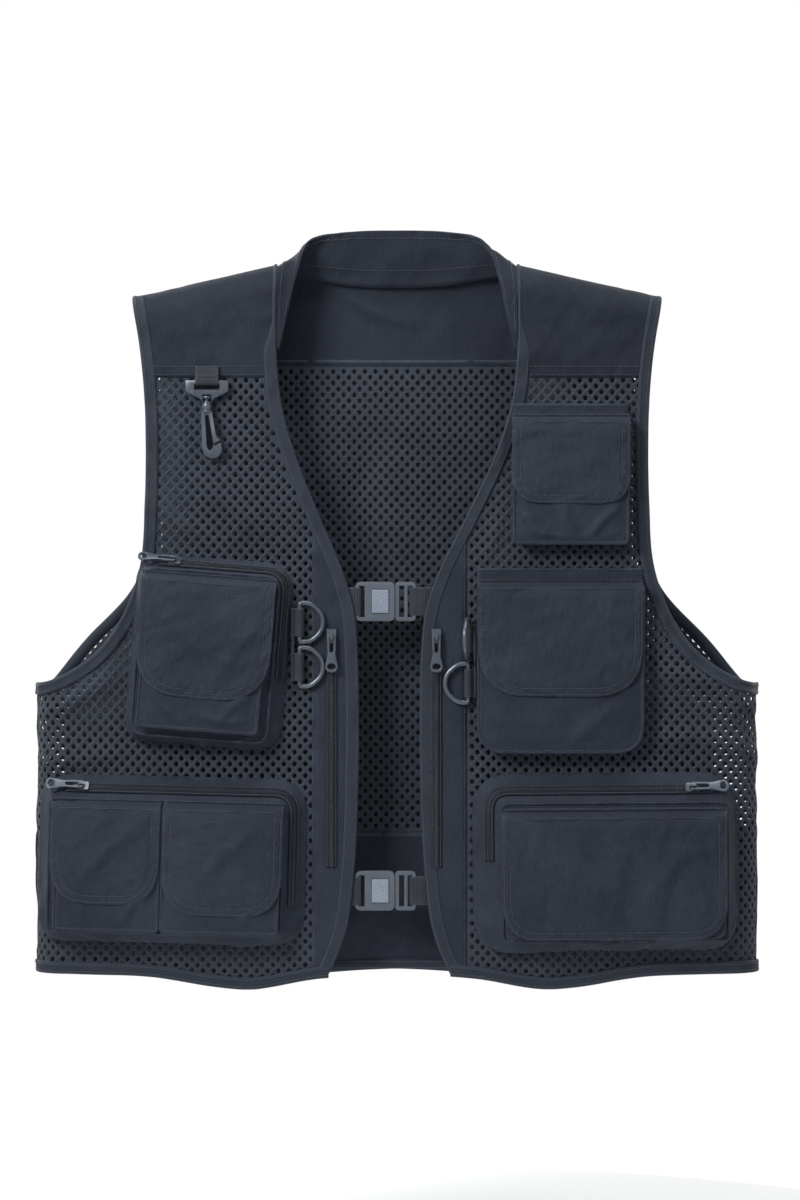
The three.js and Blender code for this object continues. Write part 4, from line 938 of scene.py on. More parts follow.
def netting_limits(side, name, z):
    """Left and right limits of a netting panel at a height."""
    arm = armhole_x(z, side) + np.where(z > -ARMHOLE_DEPTH, -3.5, 1.0)
    if side == BACK:
        return -arm, arm
    return (-arm, placket_x(z, -1) + 4) if name.endswith("left") else (placket_x(z, 1) - 4, arm)


def hem_floor(x, bottom):
    """Lower limit of a netting panel: the hem, or one height where it ends on a seam."""
    if len(bottom) == 1:
        return np.full(np.shape(x), bottom[0])
    return np.maximum(hem_z(x) + 4, bottom.min())


def edge_tape_width(z):
    """The edge tape is 11.5 wide on the placket and narrows to a piping beside the collar."""
    return 11.5 - 8.3 * smoothstep(z, -82, -48)


def straight(z):
    """A panel's edge at one height all along."""
    return lambda x: np.full(np.shape(x), z)


def body_shell():
    """Yokes, netting, lower back panel and plackets, with their seams."""
    for word, side in (("left", -1), ("right", 1)):
        def arm(z, side=side):
            return side * (armhole_x(z, FRONT) - 1.5)

        def edge(z, side=side):
            return opening_x(z, side)

        def outer(z, side=side):
            return placket_x(z, side)

        body_cloth(f"yoke_front_{word}", YOKE, "nylon", edge, arm, shoulder_line,
                   straight(-FRONT_YOKE_DROP - 2.0), FRONT, 3.2, CLOTH_LEVEL,
                   (f"front_yoke_{word}",), edges=(0, 1, 0, 0))
        netting_panel(f"netting_front_{word}", f"front_mesh_{word}", FRONT,
                      -HALF_WIDTH if side < 0 else 24, HALF_WIDTH if side > 0 else -24,
                      -FRONT_YOKE_DROP + 2, HEM[:, 1] + 4)
        across = np.linspace(float(placket_x(-97.0, side)), side * float(armhole_x(-97.0, FRONT)), 60)
        for up in (0.6, 8.0):
            seam(across, np.full(60, -FRONT_YOKE_DROP + up), FRONT)
        body_cloth(f"placket_cloth_{word}", NYLON, "nylon", edge, outer,
                   straight(1.0 - FRONT_YOKE_DROP), lambda x: hem_z(x) + 2, FRONT, 3.0,
                   CLOTH_LEVEL + 0.25, (f"placket_{word}",), edges=(0, 0, 0, 1))
        body_cloth(f"edge_tape_{word}", TAPE, "tape", edge,
                   lambda z, side=side: opening_x(z, side) + side * edge_tape_width(z),
                   shoulder_line, lambda x: hem_z(x) + 3, FRONT, 2.4,
                   EDGING_LEVEL, wall=2.3)
        z = np.linspace(-24, float(hem_z(side * 30.0)) + 8, 260)
        for inset, start in ((1.6, -24), (9.8, -84)):
            low = z[z < start]
            seam(opening_x(low, side) + side * inset, low, FRONT, EDGING_LEVEL)
        z = z[z < -160]
        seam(placket_x(z, side) - side * 2.0, z, FRONT)
    body_cloth("yoke_back", YOKE, "nylon", lambda z: 1.5 - armhole_x(z, BACK),
               lambda z: armhole_x(z, BACK) - 1.5, neck_seam_z,
               straight(-BACK_YOKE_DROP - 2.0), BACK, 4.0, CLOTH_LEVEL,
               ("back_yoke",), edges=(0, 1, 0, 0))
    netting_panel("netting_back", "back_mesh", BACK, -HALF_WIDTH, HALF_WIDTH, -BACK_YOKE_DROP + 2,
                  np.array([-BACK_PANEL_TOP - 3.0]))
    body_cloth("lower_back", NYLON, "nylon", lambda z: -armhole_x(z, BACK), lambda z: armhole_x(z, BACK),
               straight(-BACK_PANEL_TOP + 2.0), lambda x: hem_z(x) + 3, BACK,
               4.0, CLOTH_LEVEL, ("back_lower_panel",), edges=(1, 0, 0, 0))
    across = np.linspace(-HALF_WIDTH + 1, HALF_WIDTH - 1, 240)
    for height in (-BACK_PANEL_TOP - 0.5, -BACK_PANEL_TOP - 7.5):
        seam(across, np.full(240, height), BACK)
    half = float(armhole_x(np.float64(-BACK_YOKE_DROP), BACK)) - 2
    across = np.linspace(-half, half, 160)
    for height in (-BACK_YOKE_DROP + 0.6, -BACK_YOKE_DROP + 8):
        seam(across, np.full(160, height), BACK)


BINDING = 10.5                   # width of the bindings


def ribbon(name, node, u, z, side, inward, width, body="vest"):
    """Binding folded over an edge. Rows cross the tape: out over the face, round the inner edge,
    back underneath and round the folded edge; each point is set in from the edge over the cloth
    and lifted along the form's normal."""
    section = [(0.0, 0.1), (0.5, 0.75), (1.6, 1.0), (3.2, 0.8), (width - 3.0, 0.8), (width - 1.4, 1.0),
               (width - 0.3, 0.8), (width, 0.1), (width - 0.4, -0.7), (width - 1.5, -2.6),
               (1.5, -2.7), (0.3, -1.6)]
    rows = []
    for inset, lift in section:
        u1, z1 = u + inward[:, 0] * inset, z + inward[:, 1] * inset
        sides = [on_body(u1, z1, s, lift + drape(u1, z1, s))[0] for s in (FRONT, BACK)]
        rows.append(np.where((side == FRONT)[:, None], sides[0], sides[1]))
    points = np.stack(rows, 1)
    count, columns = points.shape[:2]
    faces = outward(points, grid_faces(count, columns, wrap=True))
    caps = [list(range(columns)), list(range((count - 1) * columns, count * columns))]
    run = lengths(points[:, 3])
    uv = np.stack([np.broadcast_to(np.linspace(0, 1, columns) * 2 * width, (count, columns)),
                   np.broadcast_to(run[:, None], (count, columns))], -1) * MM
    worn = np.broadcast_to(np.array([1, 1, 0.5, 0.1, 0.1, 0.5, 1, 0.6, 0, 0, 0.4, 0.8]), (count, columns))
    made = build(name, points, faces.tolist() + caps, TAPE, body, "tape", uv, worn, (node,))
    for inset in (2.6, width - 2.4):
        u1, z1 = u + inward[:, 0] * inset, z + inward[:, 1] * inset
        for face in (FRONT, BACK):
            on = side == face
            if on.sum() > 8:
                sew(body, *on_body(u1[on], z1[on], face, 0.85 + drape(u1[on], z1[on], face)))
    return made


def armhole_bindings():
    """Each binding runs from the shoulder down the front, round the side fold and up the back."""
    for word, hand in (("left", -1), ("right", 1)):
        halves = []
        for face in (FRONT, BACK):
            line = ARMHOLE[face]
            line = line[(line[:, 0] <= HALF_WIDTH) & (line[:, 1] < shoulder_line(line[:, 0]))]
            fold = np.array([[SHOULDER_HALF, float(shoulder_line(SHOULDER_HALF))]])
            side_end = np.array([[HALF_WIDTH, -ARMHOLE_DEPTH]])
            line = np.vstack([fold, line, side_end])
            over = np.stack([across_cloth(line[:, 0]),
                             over_fold(shoulder_line(line[:, 0]) - line[:, 1])], 1)
            over = spaced(over, 170)
            x = from_cloth(over[:, 0])
            z = shoulder_line(x) - drop_of(over[:, 1])
            way = directions(over)
            inward = np.stack([way[:, 1], -way[:, 0]], 1) * [-1, 1]
            halves.append((over[:, 0], z, np.full(len(z), face), inward))
        (ua, za, sa, ia), (ub, zb, sb, ib) = halves
        u = np.concatenate([ua, ub[::-1][1:]]) * hand
        z = np.concatenate([za, zb[::-1][1:]])
        inward = np.vstack([ia, ib[::-1][1:]]) * [hand, 1]
        side = np.concatenate([sa, sb[::-1][1:]])
        ribbon(f"armhole_tape_{word}", f"armhole_binding_{word}", u, z, side, inward, BINDING)


def hem_tape():
    """One binding along the hem, from the left front edge round the back to the right one."""
    runs = []
    for face, start, stop in ((FRONT, float(opening_x(-615.0, -1)), -HALF_WIDTH),
                              (BACK, -HALF_WIDTH, HALF_WIDTH),
                              (FRONT, HALF_WIDTH, float(opening_x(-615.0, 1)))):
        u = np.linspace(float(across_cloth(start)), float(across_cloth(stop)), 60 if face == FRONT else 190)
        runs.append((u, hem_z(from_cloth(u)), np.full(len(u), face)))
    u, z, side = (np.concatenate([run[k] if i == 0 else run[k][1:] for i, run in enumerate(runs)])
                  for k in range(3))
    ribbon("hem_tape", "hem_binding", u, z, side, np.tile([0.0, 1.0], (len(u), 1)), BINDING)

# ---------------------------------------------------------------- collar and back lining

# Rows of the neck seam and the collar's free edge, from the front tip to the middle of the back:
# share of the neck's half width, share of the depth (-1 front), height over the shoulder line
NECK_SEAM = [(1.0, -0.95, -COLLAR_TIP_DROP), (0.99, -0.95, -45), (0.985, -0.84, -14),
             (0.975, -0.42, -3.6), (0.96, 0, -1.4), (0.9, 0.38, -2.8), (0.67, 0.6, -5.4),
             (0.35, 0.73, -BACK_NECK_DROP + 1.6), (0, 0.77, -BACK_NECK_DROP + 0.8)]
COLLAR_EDGE = [(0.985, -0.96, -COLLAR_TIP_DROP + 1), (0.93, -0.88, -50), (0.865, -0.72, -20),
               (0.79, -0.4, COLLAR_RISE - 23), (0.73, -0.1, COLLAR_RISE - 11),
               (0.65, 0.2, COLLAR_RISE - 6), (0.52, 0.42, COLLAR_RISE - 3),
               (0.29, 0.55, COLLAR_RISE - 0.5), (0, 0.58, COLLAR_RISE)]


def neck_curve(rows, steps):
    """Curve round the neck from one front end to the other, from the left half's points."""
    left = [(-x * NECK_HALF, y * HALF_DEPTH, z) for x, y, z in rows]
    right = [(x * NECK_HALF, y * HALF_DEPTH, z) for x, y, z in rows[:-1][::-1]]
    return catmull(left + right, steps)


def collar():
    """Stand collar: straight lines from the neck seam to the free edge, bowed outwards between
    them, with a seam allowance below the seam and low ripples along it."""
    steps = 220
    seam_line, edge = neck_curve(NECK_SEAM, steps), neck_curve(COLLAR_EDGE, steps)
    rise = edge - seam_line
    tall = np.linalg.norm(rise, axis=1)
    v = np.concatenate([[-0.2, -0.1], np.linspace(0, 0.86, 11), [0.92, 0.96, 0.985, 1.0]])
    out = np.cross(directions(seam_line), rise / np.maximum(tall, 1)[:, None])
    out /= np.maximum(np.linalg.norm(out, axis=1), 1e-6)[:, None]
    along = lengths(seam_line)
    grid = seam_line[:, None] + rise[:, None] * v[None, :, None]
    bow = 1.4 * np.sin(np.pi * np.clip(v, 0, 1))[None] * smoothstep(tall, 4, 20)[:, None]
    wave = 0.8 * ripple(along[:, None], v[None] * 40, 46, 21) * smoothstep(tall, 4, 20)[:, None]
    roll = 0.6 * np.exp(-(1 - v) * 24)[None] - 0.5 * np.exp(-((v - 0.82) / 0.035) ** 2)[None]
    points = grid + out[:, None] * (bow + wave + roll)[..., None]
    faces = facing(points, grid_faces(steps + 1, len(v)), np.array([0.0, 1.0, 0.35]))
    uv = np.stack(np.broadcast_arrays(along[:, None], v[None] * 40), -1) * MM
    worn = np.broadcast_to(np.exp(-np.abs(1 - v) * 14), points.shape[:2])
    made = build("collar_band", points, faces, LINING, "vest", "nylon", uv, worn, ("collar",))
    thicken(made, 2.2, 0.0)
    middle = slice(8, steps - 7)
    for share in (0.16, 0.84):
        row = seam_line + rise * share + out * (1.4 * math.sin(math.pi * share)
                                                + 0.8 * ripple(along, share * 40, 46, 21))[:, None]
        for face in (1.15, -1.15):
            sew("vest", (row + out * face)[middle], out[middle] * np.sign(face))


POUCH_HALF = 206


def pouch_reach(z, side):
    """The back pouch's side edge: inside the armhole down to its bottom, then out to the side seam, further
    on the left than on the right."""
    return side * (POUCH_HALF + (84 if side < 0 else 70) * smoothstep(-z, 352, 392))


def back_panel():
    """Wide pouch sewn over the outside of the back netting, from the yoke to the lower panel: a near-black
    inner sheet, painted shade for the inside of the pouch, that shows through the holes, and the outer cloth
    with its stitching."""
    top, bottom = -BACK_YOKE_DROP + 3.0, -BACK_PANEL_TOP - 3.0
    # The first sheet is painted shade: near-black cloth for the inside of the pouch; the second is the
    # pouch's own cloth.
    for name, material, level in (("back_pouch_painted_shade", SHADE, 1.3), ("back_pouch", NYLON, 2.5)):
        body_cloth(name, material, "nylon", lambda z: pouch_reach(z, -1), lambda z: pouch_reach(z, 1),
                   straight(top), straight(bottom), BACK, 5.0,
                   NET_LEVEL + level, wall=0.8, edges=(0, 0, 1, 1))
    z = np.linspace(top - 4, bottom + 4, 220)
    for side in (-1, 1):
        for gap in (2.4, 9.0):
            seam(pouch_reach(z, side) - side * gap, z, BACK, NET_LEVEL + 2.5)
    x = np.linspace(-150, 150, 140)
    seam(x, np.full(140, top - 70.0), BACK, NET_LEVEL + 2.5)
    seam(x, np.full(140, top - 77.0), BACK, NET_LEVEL + 2.5)


# ---------------------------------------------------------------- pocket cloth

POCKET_FORWARD = HALF_DEPTH + 0.3
ZIPPED_DEPTH = 14
PATCH_DEPTH = 9
FLAP_POCKET_DEPTH = 14
ZIP_SHARE = 0.55
CORNER_SPREAD = 1.17
SEAM_RADIUS = 18
ZIP_LIFT = 0.4


def turn_of(joint):
    """Turn of a pocket about +Y, from the axis of its flap's hinge."""
    axis = JOINTS[joint]["axis"]
    return math.atan2(axis[2], -axis[0])


def pocket_place(node, sheet, joint):
    """Frame of a pocket: the middle of the node's box is the middle of the pocket's back."""
    low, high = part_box(node)
    turn = turn_of(joint)
    c, s = math.cos(turn), math.sin(turn)
    across, up = (sheet["left"] + sheet["right"]) / 2, (sheet["top"] + sheet["bottom"]) / 2
    middle = (low + high) / 2 / MM
    return Place((middle[0] - across * c - up * s, -POCKET_FORWARD, middle[2] + across * s - up * c), turn)


def inset(outline, distance, sheet):
    """The outline drawn in towards the sheet's middle, by that distance at each side."""
    middle = np.array([(sheet["left"] + sheet["right"]) / 2, (sheet["top"] + sheet["bottom"]) / 2])
    half = np.array([(sheet["right"] - sheet["left"]) / 2, (sheet["top"] - sheet["bottom"]) / 2])
    return middle + (outline - middle) * np.maximum(1 - distance / half, 0.0)


def normals_2d(outline, closed=True):
    """Unit normals of a clockwise outline, pointing out of it."""
    way = directions(outline, closed)
    return np.stack([-way[:, 1], way[:, 0]], 1)


def zipped_bag(name, node, place, back, front, seed, tucks=()):
    """Zipped bag. Rings run from a flange on the body, up the slack wall to the piped seam round
    the front, and in over the face, which closes in a fan; the wall is pleated by ripples that
    grow away from its sewn edges."""
    sag = max(back["top"] - front["top"], 1)
    back_ring = ring_outline(*[back[k] for k in ("left", "right", "top", "bottom")],
                             SEAM_RADIUS + CORNER_SPREAD * sag * ZIP_SHARE)
    front_ring = ring_outline(*[front[k] for k in ("left", "right", "top", "bottom")],
                              max(SEAM_RADIUS - CORNER_SPREAD * sag * (1 - ZIP_SHARE), 5))
    out = normals_2d(front_ring)
    if ((front_ring - front_ring.mean(0)) * out).sum() < 0:
        out = -out
    run = lengths(np.vstack([front_ring, front_ring[:1]]))[:-1]
    low = smoothstep(-front_ring[:, 1], front["bottom"] * -1 - 30, front["bottom"] * -1)
    rings, worn, rows = [], [], []
    for t, wide, lift in [(-0.02, 1.2, -1.4), (0, 0.6, 0), (0.1, 0, 0), (0.2, 0, 0), (0.3, 0, 0),
                          (0.42, 0, 0), (0.55, 0, 0), (0.68, 0, 0), (0.8, 0, 0), (0.9, 0, 0), (0.96, 0, 0)]:
        t0 = max(t, 0)
        slack = math.sin(math.pi * t0)
        pleat = 1.2 * ripple(run, t * 26, 52, seed) + 0.45 * ripple(run, t * 14, 21, seed + 1)
        ring = back_ring + (front_ring - back_ring) * t0
        swell = slack * (low * (3.0 + 1.6 * pleat) + (1 - low) * 0.35 * pleat) + wide
        rings.append((ring + out * swell[:, None], ZIPPED_DEPTH * t0 + lift + 0.4 * slack * pleat * low))
        worn.append(0.25 if t > 0 else 0.6)
        rows.append(t * 22)
    for gap, lift in [(-0.7, 0.2), (-0.4, 1.0), (0.3, 1.35), (1.1, 1.1), (1.8, 0.25), (2.7, -0.25),
                      (3.6, 0.15), (6, 0.5), (10, 0.7), (16, 0.5), (24, 0.1), (36, -0.2)]:
        wave = 0.35 * ripple(run, gap, 30, seed + 2) * min(abs(gap) / 6, 1)
        rings.append((inset(front_ring, gap, front), ZIPPED_DEPTH + lift + wave))
        worn.append(1.0 if abs(lift) > 1 else 0.2)
        rows.append(22 + gap)
    points = np.stack([place.points(ring[:, 0], ring[:, 1], lift) for ring, lift in rings])
    for x0, z0, x1, z1, width, height in tucks:
        at = np.stack([ring for ring, _ in rings])
        points[..., 1] -= folds(at[..., 0], at[..., 1], [(x0, z0, x1, z1, width, height)])
    count, columns = points.shape[:2]
    faces = grid_faces(count, columns, wrap=True)
    tip = points[-1].mean(0)
    last = (count - 1) * columns
    fan = [(last + k, last + (k + 1) % columns, count * columns) for k in range(columns)]
    whole = np.vstack([points.reshape(-1, 3), tip])
    if np.cross(points[-1, 1] - points[-1, 0], tip - points[-1, 0])[1] > 0:
        faces, fan = faces[:, ::-1], [f[::-1] for f in fan]
    uv = np.stack(np.broadcast_arrays(run[None], np.array(rows)[:, None]), -1).reshape(-1, 2)
    face_rows = slice(11 * columns, None)
    uv[face_rows] = np.stack([ring for ring, _ in rings[11:]]).reshape(-1, 2)
    uv = np.vstack([uv, [[0, 0]]]) * MM
    made = build(name, whole, faces.tolist() + fan, NYLON, "vest", "nylon", uv,
                 np.append(np.repeat(worn, columns), 0.2), (node,))
    closed = np.vstack([front_ring, front_ring[:1]])
    for gap in (2.8, 4.6) if sag > 15 else (2.8,):
        row = inset(closed, gap, front)
        sew("vest", place.points(row[:, 0], row[:, 1], ZIPPED_DEPTH + 0.1), (0, -1, 0))
    return made


def crown(x, z, sheet, height):
    """Swell of a filled pocket: falls off as a fourth power across and down, most at two thirds
    of the way down."""
    across = (2 * x - sheet["left"] - sheet["right"]) / (sheet["right"] - sheet["left"])
    down = (sheet["top"] - z) / (sheet["top"] - sheet["bottom"])
    lower = np.clip(np.sin(np.pi * np.clip(down, 0, 1) ** 1.25), 0, 1)
    return height * np.clip(1 - np.abs(across) ** 4, 0, 1) * (0.25 + 0.75 * lower)


def patch_pocket(name, nodes, place, sheet, base, depth, radius, seed, swell=2.6, creases=(), base_gap=0.2):
    """Bellows pocket: a crowned front whose edge rolls into a piped seam, and a wall round three
    sides that folds inwards between the front and the cloth behind."""
    outline = pocket_outline(sheet["left"], sheet["right"], sheet["top"], sheet["bottom"],
                             max(radius, 4), 170)
    z = np.concatenate([sheet["top"] - np.array([0, 0.8, 2, 5, 9, 11.5, 13]),
                        np.linspace(sheet["top"] - 16, sheet["bottom"] + 14, 34),
                        sheet["bottom"] + np.linspace(12, 0, 14)])
    w = 0.5 - 0.5 * np.cos(np.linspace(0, np.pi, 64))
    left, right = side_of(outline, z, -1), side_of(outline, z, 1)
    x = left[:, None] + (right - left)[:, None] * w[None]
    z = np.broadcast_to(z[:, None], x.shape)

    def forward(x, z):
        edge = distance_to(outline, x, z)
        waves = folds(x, z, creases) + 0.45 * ripple(x, z, 26, seed) + 0.2 * ripple(x, z, 9, seed + 1)
        pipe = 0.9 * np.exp(-((edge - 1.0) / 0.8) ** 2) - 0.45 * np.exp(-((edge - 2.9) / 0.7) ** 2)
        roll = -1.0 * np.exp(-edge / 0.6)
        hem = 0.5 * (sheet["top"] - z < 12) * (sheet["top"] - z > 0.5)
        return (base + depth + crown(x, z, sheet, swell) * smoothstep(edge, 0, 14)
                + waves * smoothstep(edge, 1.5, 9) + pipe + roll + hem)

    points = place.points(x, z, forward(x, z))
    worn = np.exp(-distance_to(outline, x, z) / 1.6)
    faces = facing(points, grid_faces(*x.shape), (0, -1, 0))
    made = build(name, points, faces, NYLON, "vest", "nylon", np.stack([x, z], -1) * MM, worn, nodes)
    thicken(made, 1.2)
    t = np.linspace(0, 1, 9)
    out = normals_2d(outline, closed=False)
    middle = np.array([(sheet["left"] + sheet["right"]) / 2, sheet["top"]])
    if ((outline - middle) * out).sum() < 0:
        out = -out
    run = lengths(outline)
    fold = (-2.6 * np.sin(np.pi * t)[None] + 0.7 * ripple(run[:, None], t[None] * 9, 20, seed + 3)
            * np.sin(np.pi * t)[None])
    ring = outline[:, None] + out[:, None] * (fold + 0.25)[..., None]
    far = base - base_gap + (depth - 0.3 + base_gap) * t[None]
    wall = place.points(ring[..., 0], ring[..., 1], np.broadcast_to(far, fold.shape))
    c, s = math.cos(place.turn), math.sin(place.turn)
    outs = np.stack([out[:, 0] * c + out[:, 1] * s, np.zeros(len(out)), -out[:, 0] * s + out[:, 1] * c], 1)
    faces = grid_faces(len(outline), len(t))
    flat = wall.reshape(-1, 3)
    normal = np.cross(flat[faces[:, 2]] - flat[faces[:, 0]], flat[faces[:, 3]] - flat[faces[:, 1]])
    if (normal * outs[faces[:, 0] // len(t)]).sum() < 0:
        faces = faces[:, ::-1]
    uv = np.stack(np.broadcast_arrays(run[:, None], t[None] * depth), -1) * MM
    thicken(build(f"{name}_wall", wall, faces, NYLON, "vest", "nylon", uv,
                  np.full(wall.shape[:2], 0.15)), 1.0)
    inner = outline - out * 2.9
    inner = inner[(inner[:, 1] < sheet["top"] - 1)]
    sew("vest", place.points(inner[:, 0], inner[:, 1], forward(inner[:, 0], inner[:, 1])), (0, -1, 0))
    rim = np.linspace(sheet["left"] + 2, sheet["right"] - 2, 60)
    for drop in (1.8, 11.0):
        level = np.full(60, sheet["top"] - drop)
        sew("vest", place.points(rim, level, forward(rim, level)), (0, -1, 0))
    return forward


def flap(name, place, x_middle, z_hinge, start, reach, width, height, radius, seed,
         sheet, swell=2.6, curl=1.6, creases=()):
    """Flap sewn on its top edge, rolled forwards over the mouth and hung over the pocket. Its
    section is a quarter ellipse at the top; below, it follows the pocket's own swell, with rolled
    edges, two stitched grooves and corners that curl off the cloth."""
    left, right = x_middle - width / 2, x_middle + width / 2
    outline = pocket_outline(left, right, z_hinge, z_hinge - height, radius, 240)
    lay = start + reach + 1.0
    bend = min(7.0, reach * 0.75)

    def forward(x, z):
        down = z_hinge - z
        edge = distance_to(outline, x, z)
        rolled = np.clip(1 - down / bend, 0, 1)
        section = start + 0.4 + (lay - start - 0.4) * np.sqrt(1 - rolled ** 2)
        low = smoothstep(down, height * 0.55, height)
        corner = low * np.abs(2 * (x - x_middle) / width) ** 2
        waves = folds(x, z, creases) + 0.6 * ripple(x, z, 34, seed) + 0.22 * ripple(x, z, 11, seed + 1)
        pucker = 0.28 * ripple(x, z, 5.5, seed + 2, 4) * np.exp(-((edge - 4.5) / 3.5) ** 2)
        groove = 0.4 * np.exp(-((edge - 1.9) / 0.7) ** 2) + 0.35 * np.exp(-((edge - 7.2) / 0.8) ** 2)
        roll = 0.9 * np.exp(-edge / 0.9)
        free = smoothstep(down, 2, 14)
        return section + free * (crown(x, z, sheet, swell) + 0.6 + curl * corner + waves
                                 * smoothstep(edge, 0, 6) + pucker) - (groove + roll) * free

    z = z_hinge - np.concatenate([bend * (1 - np.cos(np.linspace(0, np.pi / 2, 9))),
                                  np.linspace(bend + 1.5, height - 12, int(height / 2.2)),
                                  height - np.linspace(10.5, 0, 12)])
    w = 0.5 - 0.5 * np.cos(np.linspace(0, np.pi, max(int(width / 1.5), 30)))
    lo, hi = side_of(outline, z, -1), side_of(outline, z, 1)
    x = lo[:, None] + (hi - lo)[:, None] * w[None]
    z = np.broadcast_to(z[:, None], x.shape)
    points = place.points(x, z, forward(x, z))
    sewn = place.points(x[0], z[0] + 3.4, start + 0.5)[None]
    turned = place.points(x[0], z[0] + 2.2, start + 1.3)[None]
    points = np.concatenate([sewn, turned, points])
    faces = facing(points, grid_faces(*points.shape[:2]), (0, -1, 0))
    edge = np.concatenate([np.full((2, x.shape[1]), 1.5), distance_to(outline, x, z)])
    uv = np.concatenate([np.stack([x[:2], z[:2] + np.array([[3.4], [2.2]])], -1), np.stack([x, z], -1)])
    made = build(f"{name}_cloth", points, faces, NYLON, name, "nylon", uv * MM, np.exp(-edge / 2.0),
                 (name,))
    thicken(made, 1.7)
    out = normals_2d(outline, closed=False)
    if ((outline - outline.mean(0)) * out).sum() < 0:
        out = -out
    for gap in (1.9, 7.2):
        row = outline - out * gap
        row = row[row[:, 1] < z_hinge - 8.5]
        sew(name, place.points(row[:, 0], row[:, 1], forward(row[:, 0], row[:, 1])), (0, -1, 0))
    row = np.linspace(left + 2, right - 2, 60)
    sew(name, place.points(row, z_hinge + 2.4, start + 1.35), (0, -1, 0))
    area = (width * height - 0.33 * radius ** 2) * MM * MM
    width * MM
    (height + bend) * MM
    return made


# ---------------------------------------------------------------- zips


def spindle_mesh(name, centre, way, up, half, width, tall, material, body, slot, nodes=()):
    """Many small rounded bars in one mesh, each of four sides and three rings with two tips."""
    across = np.cross(up, way)
    points = [centre - way * half[:, None]]
    for share, size in ((-0.82, 0.72), (0.0, 1.0), (0.82, 0.72)):
        for turn in range(4):
            a = math.pi / 2 * turn + math.pi / 4
            points.append(centre + way * (half * share)[:, None]
                          + across * math.cos(a) * width * size * 1.4 + up * math.sin(a) * tall * size * 1.4)
    points.append(centre + way * half[:, None])
    points = np.stack(points, 1)
    ring = [(k, (k + 1) % 4) for k in range(4)]
    one = [(0, 1 + b, 1 + a) for a, b in ring] + [(13, 9 + a, 9 + b) for a, b in ring]
    for first in (1, 5):
        for a, b in ring:
            one += [(first + a, first + b, first + 4 + b), (first + a, first + 4 + b, first + 4 + a)]
    one = outward(points[0], np.array(one))
    faces = (one[None] + 14 * np.arange(len(points))[:, None, None]).reshape(-1, 3)
    return build(name, points, faces, material, body, slot, None, None, nodes)


def zip_strip(node, place, path, forward, lean, tape_width):
    """Tape and closed coil along a flat path round a pocket whose wall leans: the tape is a
    ribbon with a raised edge cord, and the coil's turns alternate from either side."""
    path = spaced(np.asarray(path, float), max(int(lengths(np.asarray(path, float))[-1] / 1.6), 20))
    way = directions(path)
    out = np.stack([-way[:, 1], way[:, 0]], 1)
    c, s = math.cos(lean), math.sin(lean)

    def at(points_2d, outs, a, n):
        """World place at a across the tape, towards the front, and n over the wall."""
        shift = outs * (n * c - a * s)[..., None]
        return place.points(points_2d[..., 0] + shift[..., 0], points_2d[..., 1] + shift[..., 1],
                            forward + n * s + a * c)

    half = tape_width / 2
    a = np.array([-half, -half + 0.5, -3.1, -2.5, -0.6, 0, 0.6, 2.5, 3.1, half - 0.5, half])
    n = np.array([0.55, 1.05, 1.0, 1.25, 1.1, 0.9, 1.1, 1.25, 1.0, 1.05, 0.55]) + ZIP_LIFT
    run = lengths(path)
    n = n[None] + 0.12 * ripple(run[:, None], a[None], 14, 31)
    strip = at(path[:, None], out[:, None], np.broadcast_to(a, n.shape), n)
    faces = grid_faces(len(path), len(a))
    ahead = at(path[:, None], out[:, None], np.broadcast_to(a, n.shape), n + 1) - strip
    flat = strip.reshape(-1, 3)
    normal = np.cross(flat[faces[:, 2]] - flat[faces[:, 0]], flat[faces[:, 3]] - flat[faces[:, 1]])
    if (normal * ahead.reshape(-1, 3)[faces[:, 0]]).sum() < 0:
        faces = faces[:, ::-1]
    uv = np.stack(np.broadcast_arrays(a[None], run[:, None]), -1) * MM
    thicken(build(f"{node}_tape", strip, faces, ZIP_TAPE, place.body, "zip_coil", uv,
                  np.zeros(n.shape), (node,)), 0.7)
    count = int(run[-1] / 0.78)
    where = (np.arange(count) + 0.5) * run[-1] / count
    spot = np.stack([np.interp(where, run, path[:, k]) for k in (0, 1)], 1)
    outs = np.stack([np.interp(where, run, out[:, k]) for k in (0, 1)], 1)
    outs /= np.linalg.norm(outs, axis=1)[:, None]
    hand = np.where(np.arange(count) % 2 == 0, 1.0, -1.0)
    zero = np.zeros(count)
    centre = at(spot, outs, hand * 0.95, zero + 1.75 + ZIP_LIFT)
    across = at(spot, outs, zero + 1, zero) - at(spot, outs, zero, zero)
    up = at(spot, outs, zero, zero + 1) - at(spot, outs, zero, zero)
    spindle_mesh(f"{node}_coil", centre, across, up, zero + 1.75, 0.3, 0.5, COIL, place.body, "zip_coil")
    for edge in (-half + 1.3, half - 1.3):
        sew(place.body, at(path, out, np.full(len(path), edge), np.full(len(path), 1.0 + ZIP_LIFT)),
            at(path, out, zero[:1] + edge, zero[:1] + 2) - at(path, out, zero[:1] + edge, zero[:1] + 1))


